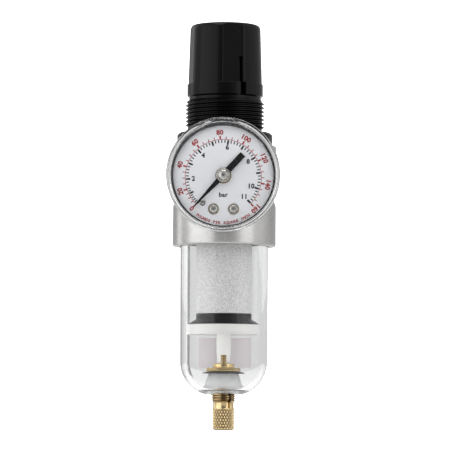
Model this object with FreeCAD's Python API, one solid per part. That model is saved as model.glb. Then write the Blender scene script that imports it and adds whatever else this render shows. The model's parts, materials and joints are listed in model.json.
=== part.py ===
import FreeCAD, Part
import math
import os

# Compact air filter-regulator with a 40 mm gauge: G1/4 ports and an M30 x 1.5 panel thread.
# Units are millimetres. The origin is where the port centreline crosses the vertical axis.
# +Z is up, -X is the inlet, +X is the outlet, and the gauge faces -Y.

V = FreeCAD.Vector
O = V(0, 0, 0)
X_AXIS = V(1, 0, 0)
Y_AXIS = V(0, 1, 0)
Z_AXIS = V(0, 0, 1)

# ---------------------------------------------------------------- driving dimensions
RUN = 0.05            # radial clearance of a running fit

BODY_R = 19.6
BODY_BOTTOM = -23.8
BODY_TOP = 14.5
PORT_R = 5.72         # G1/4 minor radius: the port threads are left as plain bores
PORT_FACE_X = 17.65   # the spot face round each pipe port
PORT_FACE_R = 8.5
PORT_DEPTH = 9.5
GAUGE_PORT_R = 4.87   # G1/8 major radius
GAUGE_FACE_Y = 18.1
GAUGE_FACE_R = 7.5
GAUGE_PORT_DEPTH = 7.5

BOWL_BORE_R = 17.0
BOWL_FLOOR = -13.8    # the bore for the bowl ends here
CHAMBER_R = 7.0       # valve chamber, also the thread of the valve guide
SEAT_Z = -2.5
SEAT_LIP_Z = -3.1
ORIFICE_R = 2.6
OUTLET_CHAMBER_R = 6.0
OUTLET_CHAMBER_FLOOR = -1.0
SENSING_Z = 7.1       # floor of the space under the diaphragm
SENSING_R = 13.0
CLAMP_Z = 8.2         # the ledge that the diaphragm's rim lies on
BONNET_BORE_R = 16.5

DIAPHRAGM_T = 1.2
BONNET_SKIRT_R = 16.45
BONNET_FLANGE_R = 18.2
BONNET_FLANGE_TOP = 19.6
BONNET_CHAMFER = 0.9
PANEL_R = 15.0        # M30 x 1.5
PANEL_PITCH = 1.5
PANEL_DEPTH = 0.92
PANEL_Z0 = 21.5
PANEL_Z1 = 32.0
COLLAR_R = 13.7
COLLAR_TOP = 33.2
BONNET_NECK_R = 12.0
SPRING_BORE_R = 10.7
BONNET_TOP = 48.0
BONNET_ROOF = 45.6
SPINDLE_HOLE_R = 4.2

KNOB_SKIRT_R = 14.45
KNOB_SKIRT_Z0 = 33.5
KNOB_SKIRT_Z1 = 38.1
KNOB_R0 = 14.1        # just over the skirt
KNOB_R1 = 13.4        # at the top
KNOB_TOP = 61.0
KNOB_ROUND = 2.2
KNOB_INNER_R = 12.5
KNOB_ROOF = 57.4
KNOB_HUB_R = 6.2
KNOB_HUB_Z0 = 49.4
PANEL_COUNT = 4       # shallow grip recesses round the knob
RECESS_ARC = 33.5     # degrees
RECESS_MIDDLE = 13.2  # degrees to the right of the front
RECESS_DEPTH = 0.28
SLOT_AT = 26.6        # degrees to the right of the front
SLOT_W = 1.0
SLOT_HOLE_R = 0.85
SLOT_TOP = 47.1
SKIRT_SLOT_AT = 30.8
SKIRT_SLOT_W = 1.6

SCREW_R = 4.0
SCREW_PITCH = 1.25
SCREW_Z0 = 22.0
SCREW_FLANGE_Z = 43.4
THRUST_T = 0.4
HEX_FLATS = 7.0
HEX_TOP = 56.4
NUT_Z0 = 36.5
NUT_T = 5.0
NUT_TRAVEL = 6.25
NUT_R = 10.4
KEY_R = 11.3
KEY_W = 3.0
SPRING_WIRE_R = 1.3
SPRING_MEAN_R = 8.6
SPRING_SLACK = 0.5
SPRING_TURNS = 5.5

FILTER_R = 10.62
FILTER_BORE_R = 7.3
FILTER_TOP = -17.4
FILTER_BOTTOM = -49.4
DEFLECTOR_R = 14.2
DEFLECTOR_Z0 = -16.6
RETAINER_R = 10.55
RETAINER_CONE_R = 13.2
RETAINER_STEP_Z = -51.5
BAFFLE_TOP = -53.5
BAFFLE_BOTTOM = -57.3
BAFFLE_R = 13.95
BAFFLE_LIP_R = 14.3
STEM_R = 2.75
STEM_BOTTOM = -67.9
STEM_BORE_R = 1.5
POST_R = 2.4

BOWL_R = 16.75
BOWL_LOW_R = 16.6     # after the moulding draft
BOWL_IN_R = 14.72
BOWL_IN_LOW_R = 14.6
BOWL_NECK_R = 16.94
BOWL_TOP = -15.2
BOWL_PITCH = 1.5
DOME_Z = -67.4        # level where the wall turns into the dome
DOME_R = 12.9
BOWL_BOTTOM = -79.8
BOSS_TOP = -71.7
BOSS_TOP_R = 5.6
BOSS_FOOT_R = 7.4
BOSS_FOOT_Z = -77.2

DRAIN_MAJOR_R = 4.86  # G1/8
DRAIN_PITCH = 0.907
DRAIN_DEPTH = 0.55
DRAIN_THREAD_Z0 = -82.8
COLLAR_DRAIN_R = 3.95
KNURL_TOP = -85.2
KNURL_R = 4.15
DRAIN_BOTTOM = -93.4
DRAIN_HEX_FLATS = 11.2
DRAIN_HEX_T = 1.4
GASKET_T = 0.5
GASKET_R = 8.0
RING_R = 4.1
RING_T = 1.6
PIN_R = 1.2
PIN_TOP = -64.4

GAUGE_BACK = 27.8     # distance of the case's back from the vertical axis
GAUGE_FRONT = 52.0
CASE_R = 19.5
CASE_WALL = 0.6
LENS_R = 21.0
LENS_SKIRT_Z0 = 43.5
DIAL_Z = 43.4
DIAL_T = 0.4
DIAL_R = 18.6
DIAL_SCREWS = [(-3.6, -12.6), (3.9, -12.6)]
POINTER_Z = 45.3
POINTER_T = 0.4
POINTER_REACH = 16.1
POINTER_TAIL = 10.7
POINTER_REST = 227.0  # direction of the pointer at zero, degrees from +X towards +Z
MODULE = 0.3
PINION_TEETH = 10
SECTOR_TEETH = 60     # of a full circle
SECTOR_ARC = 66.0
GEAR_Z = 37.4
GEAR_T = 1.4
FRAME_Z0 = 34.2       # back plate of the movement
FRAME_Z1 = 41.0       # front plate of the movement
PLATE_T = 0.8
SECTOR_START = 66.0   # direction of the sector's middle tooth at zero
TAIL_DIRECTION = 300.0
TAIL_R = 3.0
LINK_Z = 36.3
TUBE_R = 14.5         # Bourdon tube's middle radius
TUBE_Z0 = 29.2
TUBE_Z1 = 33.6
TUBE_TIP = 15.0       # direction of the tube's free end
TIP_PIN_R = 12.6      # distance of the tip's pin from the gauge's axis


# ---------------------------------------------------------------- shape helpers
def turned(points):
    """A solid of revolution about Z from (radius, height) corners; a corner with four numbers ends an arc
    that passes through its first two."""
    edges = []
    closed = points + points[:1]
    at = V(closed[0][-2], 0, closed[0][-1])
    for corner in closed[1:]:
        end = V(corner[-2], 0, corner[-1])
        if len(corner) == 4:
            edges.append(Part.Arc(at, V(corner[0], 0, corner[1]), end).toShape())
        elif (end - at).Length > 1e-7:
            edges.append(Part.makeLine(at, end))
        at = end
    return Part.Face(Part.Wire(edges)).revolve(O, Z_AXIS, 360)


def tube(r_out, r_in, z0, z1):
    """A plain ring or sleeve on the Z axis."""
    return disc(r_out, z0, z1).cut(disc(r_in, z0 - 1, z1 + 1))


def disc(r, z0, z1, x=0.0, y=0.0):
    return Part.makeCylinder(r, z1 - z0, V(x, y, z0), Z_AXIS)


def box(x0, x1, y0, y1, z0, z1):
    return Part.makeBox(x1 - x0, y1 - y0, z1 - z0, V(x0, y0, z0))


def prism(points, z0, z1):
    """A straight prism on a closed outline in the XY plane."""
    outline = [V(x, y, z0) for x, y in points]
    face = Part.Face(Part.makePolygon(outline + outline[:1]))
    return face.extrude(V(0, 0, z1 - z0))


def polygon(sides, across_flats, z0, z1, turn=0.0):
    r = across_flats / 2 / math.cos(math.pi / sides)
    angles = [math.radians(turn) + 2 * math.pi * k / sides for k in range(sides)]
    return prism([(r * math.cos(a), r * math.sin(a)) for a in angles], z0, z1)


def spun(shape, degrees, centre=O, axis=Z_AXIS):
    copy = shape.copy()
    copy.rotate(centre, axis, degrees)
    return copy


def moved(shape, x, y, z):
    copy = shape.copy()
    copy.translate(V(x, y, z))
    return copy


def to_right(shape):
    """Lay a shape made on +Z along +X."""
    return spun(shape, 90, O, Y_AXIS)


def to_front(shape):
    """Lay a shape made on +Z along -Y; its +Y side then points up."""
    return spun(shape, 90, O, X_AXIS)


def grooves(r_major, depth, pitch, z0, z1):
    """V rings that cut a male thread's turns into a shaft of radius r_major."""
    count = int((z1 - z0) / pitch)
    half = pitch * 0.44
    rings = []
    for k in range(count):
        z = z0 + (k + 0.5) * pitch
        rings.append(turned([(r_major - depth, z), (r_major + 0.2, z - half), (r_major + 0.2, z + half)]))
    return Part.makeCompound(rings)


def coil(mean_r, wire_r, z0, z1, turns):
    """A helical wire between two heights, counted over the wire's outside."""
    height = z1 - z0 - 2 * wire_r
    helix = Part.makeHelix(height / turns, height, mean_r)
    helix.translate(V(0, 0, z0 + wire_r))
    start = V(mean_r, 0, z0 + wire_r)
    circle = Part.Wire(Part.makeCircle(wire_r, start, Y_AXIS))
    return Part.Wire(helix).makePipeShell([circle], True, True)


def ring_of(shape, count, first=0.0):
    return [spun(shape, first + 360.0 * k / count) for k in range(count)]


# ---------------------------------------------------------------- body
def make_body():
    blank = turned([(0, BODY_BOTTOM), (BODY_R - 0.5, BODY_BOTTOM), (BODY_R, BODY_BOTTOM + 0.5),
                    (BODY_R, BODY_TOP - 0.5), (BODY_R - 0.5, BODY_TOP), (0, BODY_TOP)])
    inside = [
        disc(BOWL_BORE_R, BODY_BOTTOM - 1, BOWL_FLOOR),
        disc(CHAMBER_R, BOWL_FLOOR - 1, SEAT_Z),
        disc(ORIFICE_R, SEAT_Z - 1, OUTLET_CHAMBER_FLOOR + 1),
        disc(OUTLET_CHAMBER_R, OUTLET_CHAMBER_FLOOR, CLAMP_Z),
        disc(SENSING_R, SENSING_Z, CLAMP_Z + 1),
        disc(BONNET_BORE_R, CLAMP_Z, BODY_TOP + 1),
        tube(13.4, 9.8, BOWL_FLOOR - 1, BOWL_FLOOR + 1.2),  # channel that feeds the deflector
    ]
    port = disc(PORT_R, PORT_FACE_X - PORT_DEPTH, PORT_FACE_X + 1)
    port = port.fuse(disc(PORT_FACE_R, PORT_FACE_X, BODY_R + 1))
    gauge_port = disc(GAUGE_PORT_R, GAUGE_FACE_Y - GAUGE_PORT_DEPTH, GAUGE_FACE_Y + 1)
    gauge_port = gauge_port.fuse(disc(GAUGE_FACE_R, GAUGE_FACE_Y, BODY_R + 1))
    gauge_port = gauge_port.fuse(disc(1.0, OUTLET_CHAMBER_R - 1, GAUGE_FACE_Y, 0, 2.6))
    for turn in (0, 180):
        inside.append(spun(to_right(port), turn))
        inside.append(spun(to_front(gauge_port), turn))
    # the inlet drops to the bowl; the outlet opens into the chamber over the seat
    inside.append(disc(2.2, BOWL_FLOOR - 1, -3.5, -11.6, 0))
    inside.append(moved(to_right(disc(2.2, 4.5, 9.0)), 0, 0, 2.6))
    body = blank.cut(inside)
    seat_lip = tube(ORIFICE_R + 0.7, ORIFICE_R, SEAT_LIP_Z, SEAT_Z)
    return body.fuse(seat_lip).removeSplitter()


def plug_blank():
    shank = disc(GAUGE_PORT_R - 0.01, GAUGE_FACE_Y - 6.0, GAUGE_FACE_Y)
    shank = shank.cut(grooves(GAUGE_PORT_R - 0.01, DRAIN_DEPTH, DRAIN_PITCH,
                              GAUGE_FACE_Y - 5.8, GAUGE_FACE_Y - 1.2))
    head = turned([(0, GAUGE_FACE_Y), (6.6, GAUGE_FACE_Y), (6.6, GAUGE_FACE_Y + 2.0),
                   (6.0, GAUGE_FACE_Y + 2.6), (0, GAUGE_FACE_Y + 2.6)])
    return shank.fuse(head)


def make_rear_port_plug():
    groove = tube(6.0, 4.95, GAUGE_FACE_Y - 0.1, GAUGE_FACE_Y + 0.8)
    socket = polygon(6, 5.0, GAUGE_FACE_Y - 2.4, GAUGE_FACE_Y + 3)
    plug = plug_blank().cut([groove, socket])
    return spun(to_front(plug), 180)


def make_plug_seal():
    seal = tube(5.95, 5.0, GAUGE_FACE_Y + 0.02, GAUGE_FACE_Y + 0.78)
    return spun(to_front(seal), 180)


# ---------------------------------------------------------------- bonnet and pressure setting
def make_bonnet():
    shell = turned([
        (13.5, CLAMP_Z + DIAPHRAGM_T), (BONNET_SKIRT_R, CLAMP_Z + DIAPHRAGM_T), (BONNET_SKIRT_R, BODY_TOP),
        (BONNET_FLANGE_R, BODY_TOP), (BONNET_FLANGE_R, BONNET_FLANGE_TOP - BONNET_CHAMFER),
        (BONNET_FLANGE_R - BONNET_CHAMFER, BONNET_FLANGE_TOP), (14.0, BONNET_FLANGE_TOP),
        (14.0, PANEL_Z0 - 0.6), (PANEL_R, PANEL_Z0), (PANEL_R, PANEL_Z1 - 0.6), (14.2, PANEL_Z1),
        (COLLAR_R, PANEL_Z1), (COLLAR_R, COLLAR_TOP), (BONNET_NECK_R, COLLAR_TOP),
        (BONNET_NECK_R, BONNET_TOP - 0.8), (BONNET_NECK_R - 0.8, BONNET_TOP), (SPINDLE_HOLE_R, BONNET_TOP),
        (SPINDLE_HOLE_R, BONNET_ROOF), (SPRING_BORE_R, BONNET_ROOF), (SPRING_BORE_R, 17.6), (13.5, 16.0)])
    keyway = box(-KEY_R - 0.15, KEY_R + 0.15, -KEY_W / 2 - 0.15, KEY_W / 2 + 0.15,
                 NUT_Z0 - NUT_TRAVEL - 1, NUT_Z0 + NUT_T + 1)
    vent = moved(to_front(disc(0.8, 10, 20)), 0, 0, 17.6)
    thread = grooves(PANEL_R, PANEL_DEPTH, PANEL_PITCH, PANEL_Z0, PANEL_Z1 - 0.3)
    return shell.cut([keyway, spun(vent, 180), thread])


def make_knob():
    """A hollow cap with a stepped skirt, four shallow grip recesses and two spring slots."""
    z_round = KNOB_TOP - KNOB_ROUND
    bend = KNOB_ROUND * math.sin(math.pi / 4)
    shell = turned([
        (0, KNOB_ROOF), (KNOB_INNER_R - 0.6, KNOB_ROOF), (KNOB_INNER_R, KNOB_ROOF - 1.2),
        (KNOB_INNER_R, KNOB_SKIRT_Z0), (KNOB_SKIRT_R, KNOB_SKIRT_Z0), (KNOB_SKIRT_R, KNOB_SKIRT_Z1 - 0.25),
        (KNOB_SKIRT_R - 0.25, KNOB_SKIRT_Z1), (KNOB_R0, KNOB_SKIRT_Z1), (KNOB_R1, z_round),
        (KNOB_R1 - KNOB_ROUND + bend, z_round + bend, KNOB_R1 - KNOB_ROUND, KNOB_TOP), (0, KNOB_TOP)])
    hub = disc(KNOB_HUB_R, KNOB_HUB_Z0, KNOB_ROOF + 0.5)
    hexagon = polygon(6, HEX_FLATS + 2 * RUN, KNOB_HUB_Z0 - 1, KNOB_ROOF)
    # a recess is a wedge of a ring that follows the knob's taper
    ring = turned([
        (KNOB_R0 - RECESS_DEPTH, KNOB_SKIRT_Z1), (KNOB_R0 + 2, KNOB_SKIRT_Z1),
        (KNOB_R0 + 2, KNOB_TOP + 1), (KNOB_R1 - RECESS_DEPTH, KNOB_TOP + 1)])
    reach = KNOB_R0 * 2
    half = math.radians(RECESS_ARC / 2)
    wedge = prism([(0, 0), (reach * math.sin(-half), -reach * math.cos(half)),
                   (reach * math.sin(half), -reach * math.cos(half))], KNOB_SKIRT_Z1, KNOB_TOP + 2)
    recess = spun(ring.common(wedge), RECESS_MIDDLE)
    slot = box(-SLOT_W / 2, SLOT_W / 2, -KNOB_SKIRT_R - 1, -KNOB_INNER_R + 1, KNOB_SKIRT_Z0 - 1, SLOT_TOP)
    slot = slot.fuse(moved(to_front(disc(SLOT_HOLE_R, KNOB_INNER_R - 1, KNOB_SKIRT_R + 1)), 0, 0, SLOT_TOP))
    slot = spun(slot, SLOT_AT)
    wide = box(-SKIRT_SLOT_W / 2, SKIRT_SLOT_W / 2, -KNOB_SKIRT_R - 1, -KNOB_INNER_R + 1,
               KNOB_SKIRT_Z0 - 1, KNOB_SKIRT_Z1)
    slot = slot.fuse(spun(wide, SKIRT_SLOT_AT))
    knob = shell.fuse(hub).cut([hexagon] + ring_of(recess, PANEL_COUNT) + ring_of(slot, 2))
    return knob.removeSplitter()


def make_adjusting_screw():
    flange_top = BONNET_ROOF - THRUST_T
    screw = turned([
        (0, SCREW_Z0), (SCREW_R - 0.8, SCREW_Z0), (SCREW_R, SCREW_Z0 + 0.8), (SCREW_R, SCREW_FLANGE_Z),
        (6.5, SCREW_FLANGE_Z), (6.5, flange_top), (SPINDLE_HOLE_R - RUN, flange_top),
        (SPINDLE_HOLE_R - RUN, BONNET_TOP + 0.9), (0, BONNET_TOP + 0.9)])
    screw = screw.cut(grooves(SCREW_R, 0.7, SCREW_PITCH, SCREW_Z0 + 0.9, SCREW_FLANGE_Z - 0.6))
    clip_groove = tube(6, 3.4, BONNET_TOP + 0.1, BONNET_TOP + 0.7)
    return screw.fuse(polygon(6, HEX_FLATS, BONNET_TOP + 0.9, HEX_TOP)).cut(clip_groove)


def make_spindle_clip():
    ring = tube(5.6, 3.42, BONNET_TOP + 0.12, BONNET_TOP + 0.68)
    return ring.cut(box(-1.6, 1.6, 0, 8, BONNET_TOP - 1, BONNET_TOP + 2))


def make_thrust_washer():
    return tube(6.5, SPINDLE_HOLE_R + 0.02, BONNET_ROOF - THRUST_T, BONNET_ROOF)


def make_spring_nut():
    nut = disc(NUT_R, NUT_Z0 + 2.0, NUT_Z0 + NUT_T).fuse(disc(6.6, NUT_Z0 - 2.0, NUT_Z0 + 2.0))
    nut = nut.fuse(disc(NUT_R, NUT_Z0, NUT_Z0 + 2.0))
    nut = nut.fuse(box(-KEY_R, KEY_R, -KEY_W / 2, KEY_W / 2, NUT_Z0, NUT_Z0 + NUT_T))
    return nut.cut(disc(SCREW_R + 0.06, NUT_Z0 - 3, NUT_Z0 + NUT_T + 1)).removeSplitter()


def make_regulating_spring():
    bottom = CLAMP_Z + DIAPHRAGM_T + 1.6
    return coil(SPRING_MEAN_R, SPRING_WIRE_R, bottom, NUT_Z0 - SPRING_SLACK, SPRING_TURNS)


def make_diaphragm_plate():
    z0 = CLAMP_Z + DIAPHRAGM_T
    return turned([(2.05, z0), (10.2, z0), (10.2, z0 + 2.2), (9.95, z0 + 2.2), (9.95, z0 + 1.6),
                   (7.2, z0 + 1.6), (6.8, z0 + 3.2), (4.2, z0 + 3.2), (4.2, z0 + 1.4), (2.05, z0 + 1.4)])


def make_diaphragm():
    """A rubber disc with one rolled convolution."""
    z0 = CLAMP_Z
    z1 = CLAMP_Z + DIAPHRAGM_T
    return turned([
        (2.05, z0), (10.4, z0), (11.0, z0 + 0.9), (12.1, z0 + 0.9), (12.7, z0), (16.2, z0), (16.2, z1),
        (13.3, z1), (12.8, z1 + 0.8), (10.9, z1 + 0.8), (10.35, z1), (2.05, z1)])


def make_relief_seat():
    z1 = CLAMP_Z + DIAPHRAGM_T + 1.4
    return turned([(0.9, 7.4), (1.5, 7.0), (4.5, 7.0), (4.5, CLAMP_Z), (2.0, CLAMP_Z), (2.0, z1),
                   (2.9, z1), (2.6, z1 + 0.8), (0.9, z1 + 0.8)])


# ---------------------------------------------------------------- valve and filter
def make_valve_stem():
    return turned([(0, -14.0), (1.3, -14.0), (1.5, -13.8), (1.5, -6.1), (4.3, -6.1), (4.3, -4.3), (1.2, -4.3),
                   (1.2, 6.9), (0.75, 7.35), (0, 7.35)])


def make_valve_seal():
    return tube(4.2, 1.22, -4.3, SEAT_LIP_Z - 0.02)


def make_valve_spring():
    return coil(3.2, 0.35, -11.0, -6.15, 5)


def make_valve_guide():
    """A screwed plug that guides the valve stem and holds the post of the baffle."""
    plug = turned([(0, -24.0), (6.0, -24.0), (6.2, -23.8), (6.2, BOWL_FLOOR - 2.8), (6.95, BOWL_FLOOR - 2.8),
                   (6.95, -8.5), (5.2, -8.5), (5.2, -11.0), (0, -11.0)])
    plug = plug.cut(grooves(6.95, 0.5, 1.0, BOWL_FLOOR + 0.2, -8.8))
    air_holes = ring_of(disc(1.0, -25, -10, 4.0, 0), 6, 30)
    stem_bore = disc(1.5 + RUN, -15.6, -10)
    groove = disc(2.4, -13.4, -12.4)
    return plug.cut(air_holes + [groove, stem_bore, disc(POST_R + 0.1, -25, -16.0)])


def make_stem_o_ring():
    """The soft ring that seals the valve stem in the guide."""
    return turned([(1.53, -12.9), (1.7, -13.28), (2.2, -13.28), (2.38, -12.9), (2.2, -12.52), (1.7, -12.52)])


def make_air_deflector():
    """A ring of slanting vanes that spins the air as it drops into the bowl."""
    ring = tube(DEFLECTOR_R, 7.0, DEFLECTOR_Z0, BOWL_FLOOR)
    middle = (DEFLECTOR_Z0 + BOWL_FLOOR) / 2
    slot = box(10.9, 13.4, -0.65, 0.65, middle - 4, middle + 4)
    slot = spun(slot, 38, V(12, 0, middle), X_AXIS)
    return ring.cut(ring_of(slot, 14))


def make_filter_gasket():
    return tube(FILTER_R, 6.9, FILTER_TOP, DEFLECTOR_Z0)


def make_filter_element():
    return turned([(FILTER_BORE_R, FILTER_BOTTOM), (FILTER_R, FILTER_BOTTOM), (FILTER_R, FILTER_TOP),
                   (FILTER_BORE_R, FILTER_TOP)])


def make_filter_retainer():
    """The black cup under the element: a ring that flares into a cone."""
    return turned([
        (POST_R + 0.1, BAFFLE_TOP), (RETAINER_CONE_R, BAFFLE_TOP), (RETAINER_CONE_R, BAFFLE_TOP + 0.35),
        (RETAINER_R, RETAINER_STEP_Z), (RETAINER_R, FILTER_BOTTOM), (FILTER_BORE_R, FILTER_BOTTOM),
        (FILTER_BORE_R - 0.1, FILTER_BOTTOM + 1.6), (FILTER_BORE_R - 1.2, FILTER_BOTTOM + 1.6),
        (FILTER_BORE_R - 1.2, BAFFLE_TOP + 1.4), (POST_R + 0.1, BAFFLE_TOP + 1.4)])


def make_baffle():
    """The white disc that keeps the water calm, with its post upwards and its slotted stem downwards."""
    baffle = turned([
        (0, STEM_BOTTOM), (STEM_R, STEM_BOTTOM), (STEM_R, BAFFLE_BOTTOM + 1.2),
        (BAFFLE_R - 1.1, BAFFLE_BOTTOM + 1.2), (BAFFLE_R - 0.9, BAFFLE_BOTTOM),
        (BAFFLE_LIP_R, BAFFLE_BOTTOM), (BAFFLE_LIP_R, BAFFLE_BOTTOM + 0.4),
        (BAFFLE_R, BAFFLE_BOTTOM + 0.4), (BAFFLE_R, BAFFLE_TOP), (POST_R, BAFFLE_TOP), (POST_R, -16.2),
        (0, -16.2)])
    bore = disc(STEM_BORE_R, STEM_BOTTOM - 1, -61.0)
    slot = box(-1.1, 1.1, -4, 4, STEM_BOTTOM - 1, -64.9)
    thread = grooves(POST_R, 0.35, 0.8, -23.6, -16.4)
    return baffle.cut([bore, slot, spun(slot, 90), thread])


# ---------------------------------------------------------------- bowl and drain
def bowl_arc(r, z_end):
    """The middle and end of the dome's arc for a shell radius r, down to a level."""
    centre_x = BOWL_LOW_R - DOME_R
    end = math.asin((DOME_Z - z_end) / r)
    middle = end / 2
    return (centre_x + r * math.cos(middle), DOME_Z - r * math.sin(middle),
            centre_x + r * math.cos(end), z_end)


def make_bowl():
    inner = bowl_arc(DOME_R - BOWL_LOW_R + BOWL_IN_LOW_R, BOSS_FOOT_Z)
    bowl = turned([
        (BOWL_IN_R, BOWL_TOP), (BOWL_NECK_R - 0.4, BOWL_TOP), (BOWL_NECK_R, BOWL_TOP - 0.4),
        (BOWL_NECK_R, BODY_BOTTOM + 0.3), (BOWL_R, BODY_BOTTOM), (BOWL_LOW_R, DOME_Z),
        bowl_arc(DOME_R, BOWL_BOTTOM),
        (DRAIN_MAJOR_R + RUN, BOWL_BOTTOM), (DRAIN_MAJOR_R + RUN, BOSS_TOP), (BOSS_TOP_R, BOSS_TOP),
        (BOSS_FOOT_R, BOSS_FOOT_Z), (inner[2], BOSS_FOOT_Z), (inner[0], inner[1], BOWL_IN_LOW_R, DOME_Z)])
    return bowl.cut(grooves(BOWL_NECK_R, 0.8, BOWL_PITCH, BODY_BOTTOM + 0.4, BOWL_TOP - 0.5))


def make_bowl_o_ring():
    return tube(16.6, 15.0, BOWL_TOP, BOWL_FLOOR - 0.02)


def make_bowl_label():
    """A plain blank label on the back of the bowl."""
    r = BOWL_R + 0.12
    shell = tube(r, BOWL_R + 0.01, -70.2, -58.1)
    window = box(-11.1, 11.9, 5, 20, -70.2, -58.1)
    return shell.common(window)


def make_drain_gasket():
    """A rubber washer that droops a little over the boss."""
    z1 = BOSS_TOP + GASKET_T
    droop = 0.7
    return turned([(DRAIN_MAJOR_R - 1.4, BOSS_TOP + 0.02), (BOSS_TOP_R + 0.1, BOSS_TOP + 0.02),
                   (GASKET_R, BOSS_TOP - droop), (GASKET_R, BOSS_TOP - droop + 0.4),
                   (BOSS_TOP_R + 0.3, z1), (DRAIN_MAJOR_R - 1.4, z1)])


def make_drain_hex():
    z0 = BOSS_TOP + GASKET_T
    hexagon = polygon(6, DRAIN_HEX_FLATS, z0, z0 + DRAIN_HEX_T, 8)
    return hexagon.cut(disc(DRAIN_MAJOR_R - 1.4, z0 - 1, z0 + 5))


def make_drain_ring():
    z0 = BOSS_TOP + GASKET_T + DRAIN_HEX_T
    return turned([(3.15, z0), (RING_R - 0.2, z0), (RING_R, z0 + 0.2), (RING_R, z0 + RING_T - 0.3),
                   (RING_R - 0.3, z0 + RING_T), (3.15, z0 + RING_T)])


def make_drain_screw():
    """Knurled grip, collar, threaded shank, neck through the gasket and a thin guide pin on top."""
    neck_r = DRAIN_MAJOR_R - 1.42
    z_hex = BOSS_TOP + GASKET_T + DRAIN_HEX_T
    screw = turned([
        (0, DRAIN_BOTTOM), (KNURL_R - 0.7, DRAIN_BOTTOM), (KNURL_R, DRAIN_BOTTOM + 0.6), (KNURL_R, KNURL_TOP),
        (COLLAR_DRAIN_R, KNURL_TOP + 0.2), (COLLAR_DRAIN_R, DRAIN_THREAD_Z0),
        (DRAIN_MAJOR_R, DRAIN_THREAD_Z0), (DRAIN_MAJOR_R, BOSS_TOP - 0.4), (neck_r, BOSS_TOP - 0.1),
        (neck_r, z_hex), (3.1, z_hex),
        (3.1, z_hex + 0.3), (PIN_R, z_hex + 0.3), (PIN_R, PIN_TOP - 0.3), (PIN_R - 0.3, PIN_TOP),
        (0, PIN_TOP)])
    thread = grooves(DRAIN_MAJOR_R, DRAIN_DEPTH, DRAIN_PITCH, DRAIN_THREAD_Z0 - 0.1, BOSS_TOP - 0.6)
    slot = box(-0.45, 0.45, -6, -2.6, KNURL_TOP, BOSS_TOP - 0.8)
    return screw.cut([thread, spun(slot, 33)])


# ---------------------------------------------------------------- gauge
def make_gauge_socket():
    """Brass stem, wrench square and the block that carries the Bourdon tube."""
    stem = disc(GAUGE_PORT_R - 0.01, GAUGE_FACE_Y - 6.5, GAUGE_FACE_Y)
    stem = stem.cut(grooves(GAUGE_PORT_R - 0.01, DRAIN_DEPTH, DRAIN_PITCH,
                            GAUGE_FACE_Y - 6.3, GAUGE_FACE_Y - 0.4))
    neck = disc(GAUGE_PORT_R - 0.8, GAUGE_FACE_Y, GAUGE_FACE_Y + 1.6)
    square = polygon(4, 11.0, GAUGE_FACE_Y + 1.6, GAUGE_BACK, 45)
    through = disc(4.0, GAUGE_BACK, GAUGE_BACK + 1.0)
    block = box(-4.5, 4.5, -16.6, 5.0, GAUGE_BACK + 1.0, FRAME_Z0)
    foot = box(-4.5, 4.5, -16.6, -12.8, FRAME_Z0, FRAME_Z0 + 1.6)
    socket = stem.fuse([neck, square, through, block, foot])
    middle = (TUBE_Z0 + TUBE_Z1) / 2
    bore = disc(1.3, GAUGE_FACE_Y - 7, middle + 0.5)
    down = Part.makeCylinder(0.9, 14.3, V(0, 0.5, middle), V(0, -1, 0))
    across = Part.makeCylinder(0.6, 5.0, V(0, -13.6, middle), V(-1, 0, 0))
    return to_front(socket.cut([bore, down, across]).removeSplitter())


def make_gauge_seal():
    return to_front(tube(6.4, GAUGE_PORT_R - 0.7, GAUGE_FACE_Y, GAUGE_FACE_Y + 1.5))


def make_gauge_case():
    back = GAUGE_BACK
    front = DIAL_Z + 2.0
    case = turned([
        (4.02, back), (CASE_R - 1.2, back), (CASE_R - 0.35, back + 0.35, CASE_R, back + 1.2), (CASE_R, front),
        (CASE_R - CASE_WALL, front), (CASE_R - CASE_WALL, back + 1.3),
        (CASE_R - CASE_WALL - 0.1, back + 1.0), (4.02, back + 1.0)])
    return to_front(case)


def make_gauge_lens():
    """A clear cap: window, stepped rim and a skirt that snaps over the case."""
    r_in = CASE_R + 0.05
    lens = turned([
        (r_in, LENS_SKIRT_Z0), (LENS_R, LENS_SKIRT_Z0), (LENS_R, GAUGE_FRONT - 1.2),
        (LENS_R - 0.35, GAUGE_FRONT - 0.35, LENS_R - 1.2, GAUGE_FRONT), (LENS_R - 1.9, GAUGE_FRONT),
        (18.7, GAUGE_FRONT - 0.9), (0, GAUGE_FRONT - 0.9), (0, GAUGE_FRONT - 2.5), (18.3, GAUGE_FRONT - 2.5),
        (18.9, DIAL_Z + 2.05), (r_in, DIAL_Z + 2.05)])
    return to_front(lens)


def make_gauge_dial():
    dial = disc(DIAL_R, DIAL_Z, DIAL_Z + DIAL_T)
    holes = [disc(0.7, DIAL_Z - 1, DIAL_Z + 2, x, y) for x, y in DIAL_SCREWS]
    return to_front(dial.cut(holes + [disc(1.6, DIAL_Z - 1, DIAL_Z + 2)]))


def make_dial_screws():
    """Two round-head screws that hold the dial to the movement."""
    z0 = DIAL_Z + DIAL_T
    head = turned([(0, z0), (1.75, z0), (1.75, z0 + 0.35), (1.35, z0 + 0.95), (0, z0 + 1.1)])
    head = head.cut(box(-3, 3, -0.22, 0.22, z0 + 0.6, z0 + 2))
    shank = disc(0.7, DIAL_Z - 2.0, z0)
    screws = []
    for x, y in DIAL_SCREWS:
        screws.append(moved(spun(head.fuse(shank), 40 * x), x, y, 0))
    return to_front(Part.makeCompound(screws))


def make_stop_pin():
    z0 = DIAL_Z + DIAL_T
    pin = turned([(0, z0), (0.8, z0), (0.8, z0 + 2.3), (0.6, z0 + 2.6), (0, z0 + 2.6)])
    return to_front(moved(pin, -7.75, -10.3, 0))


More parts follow.
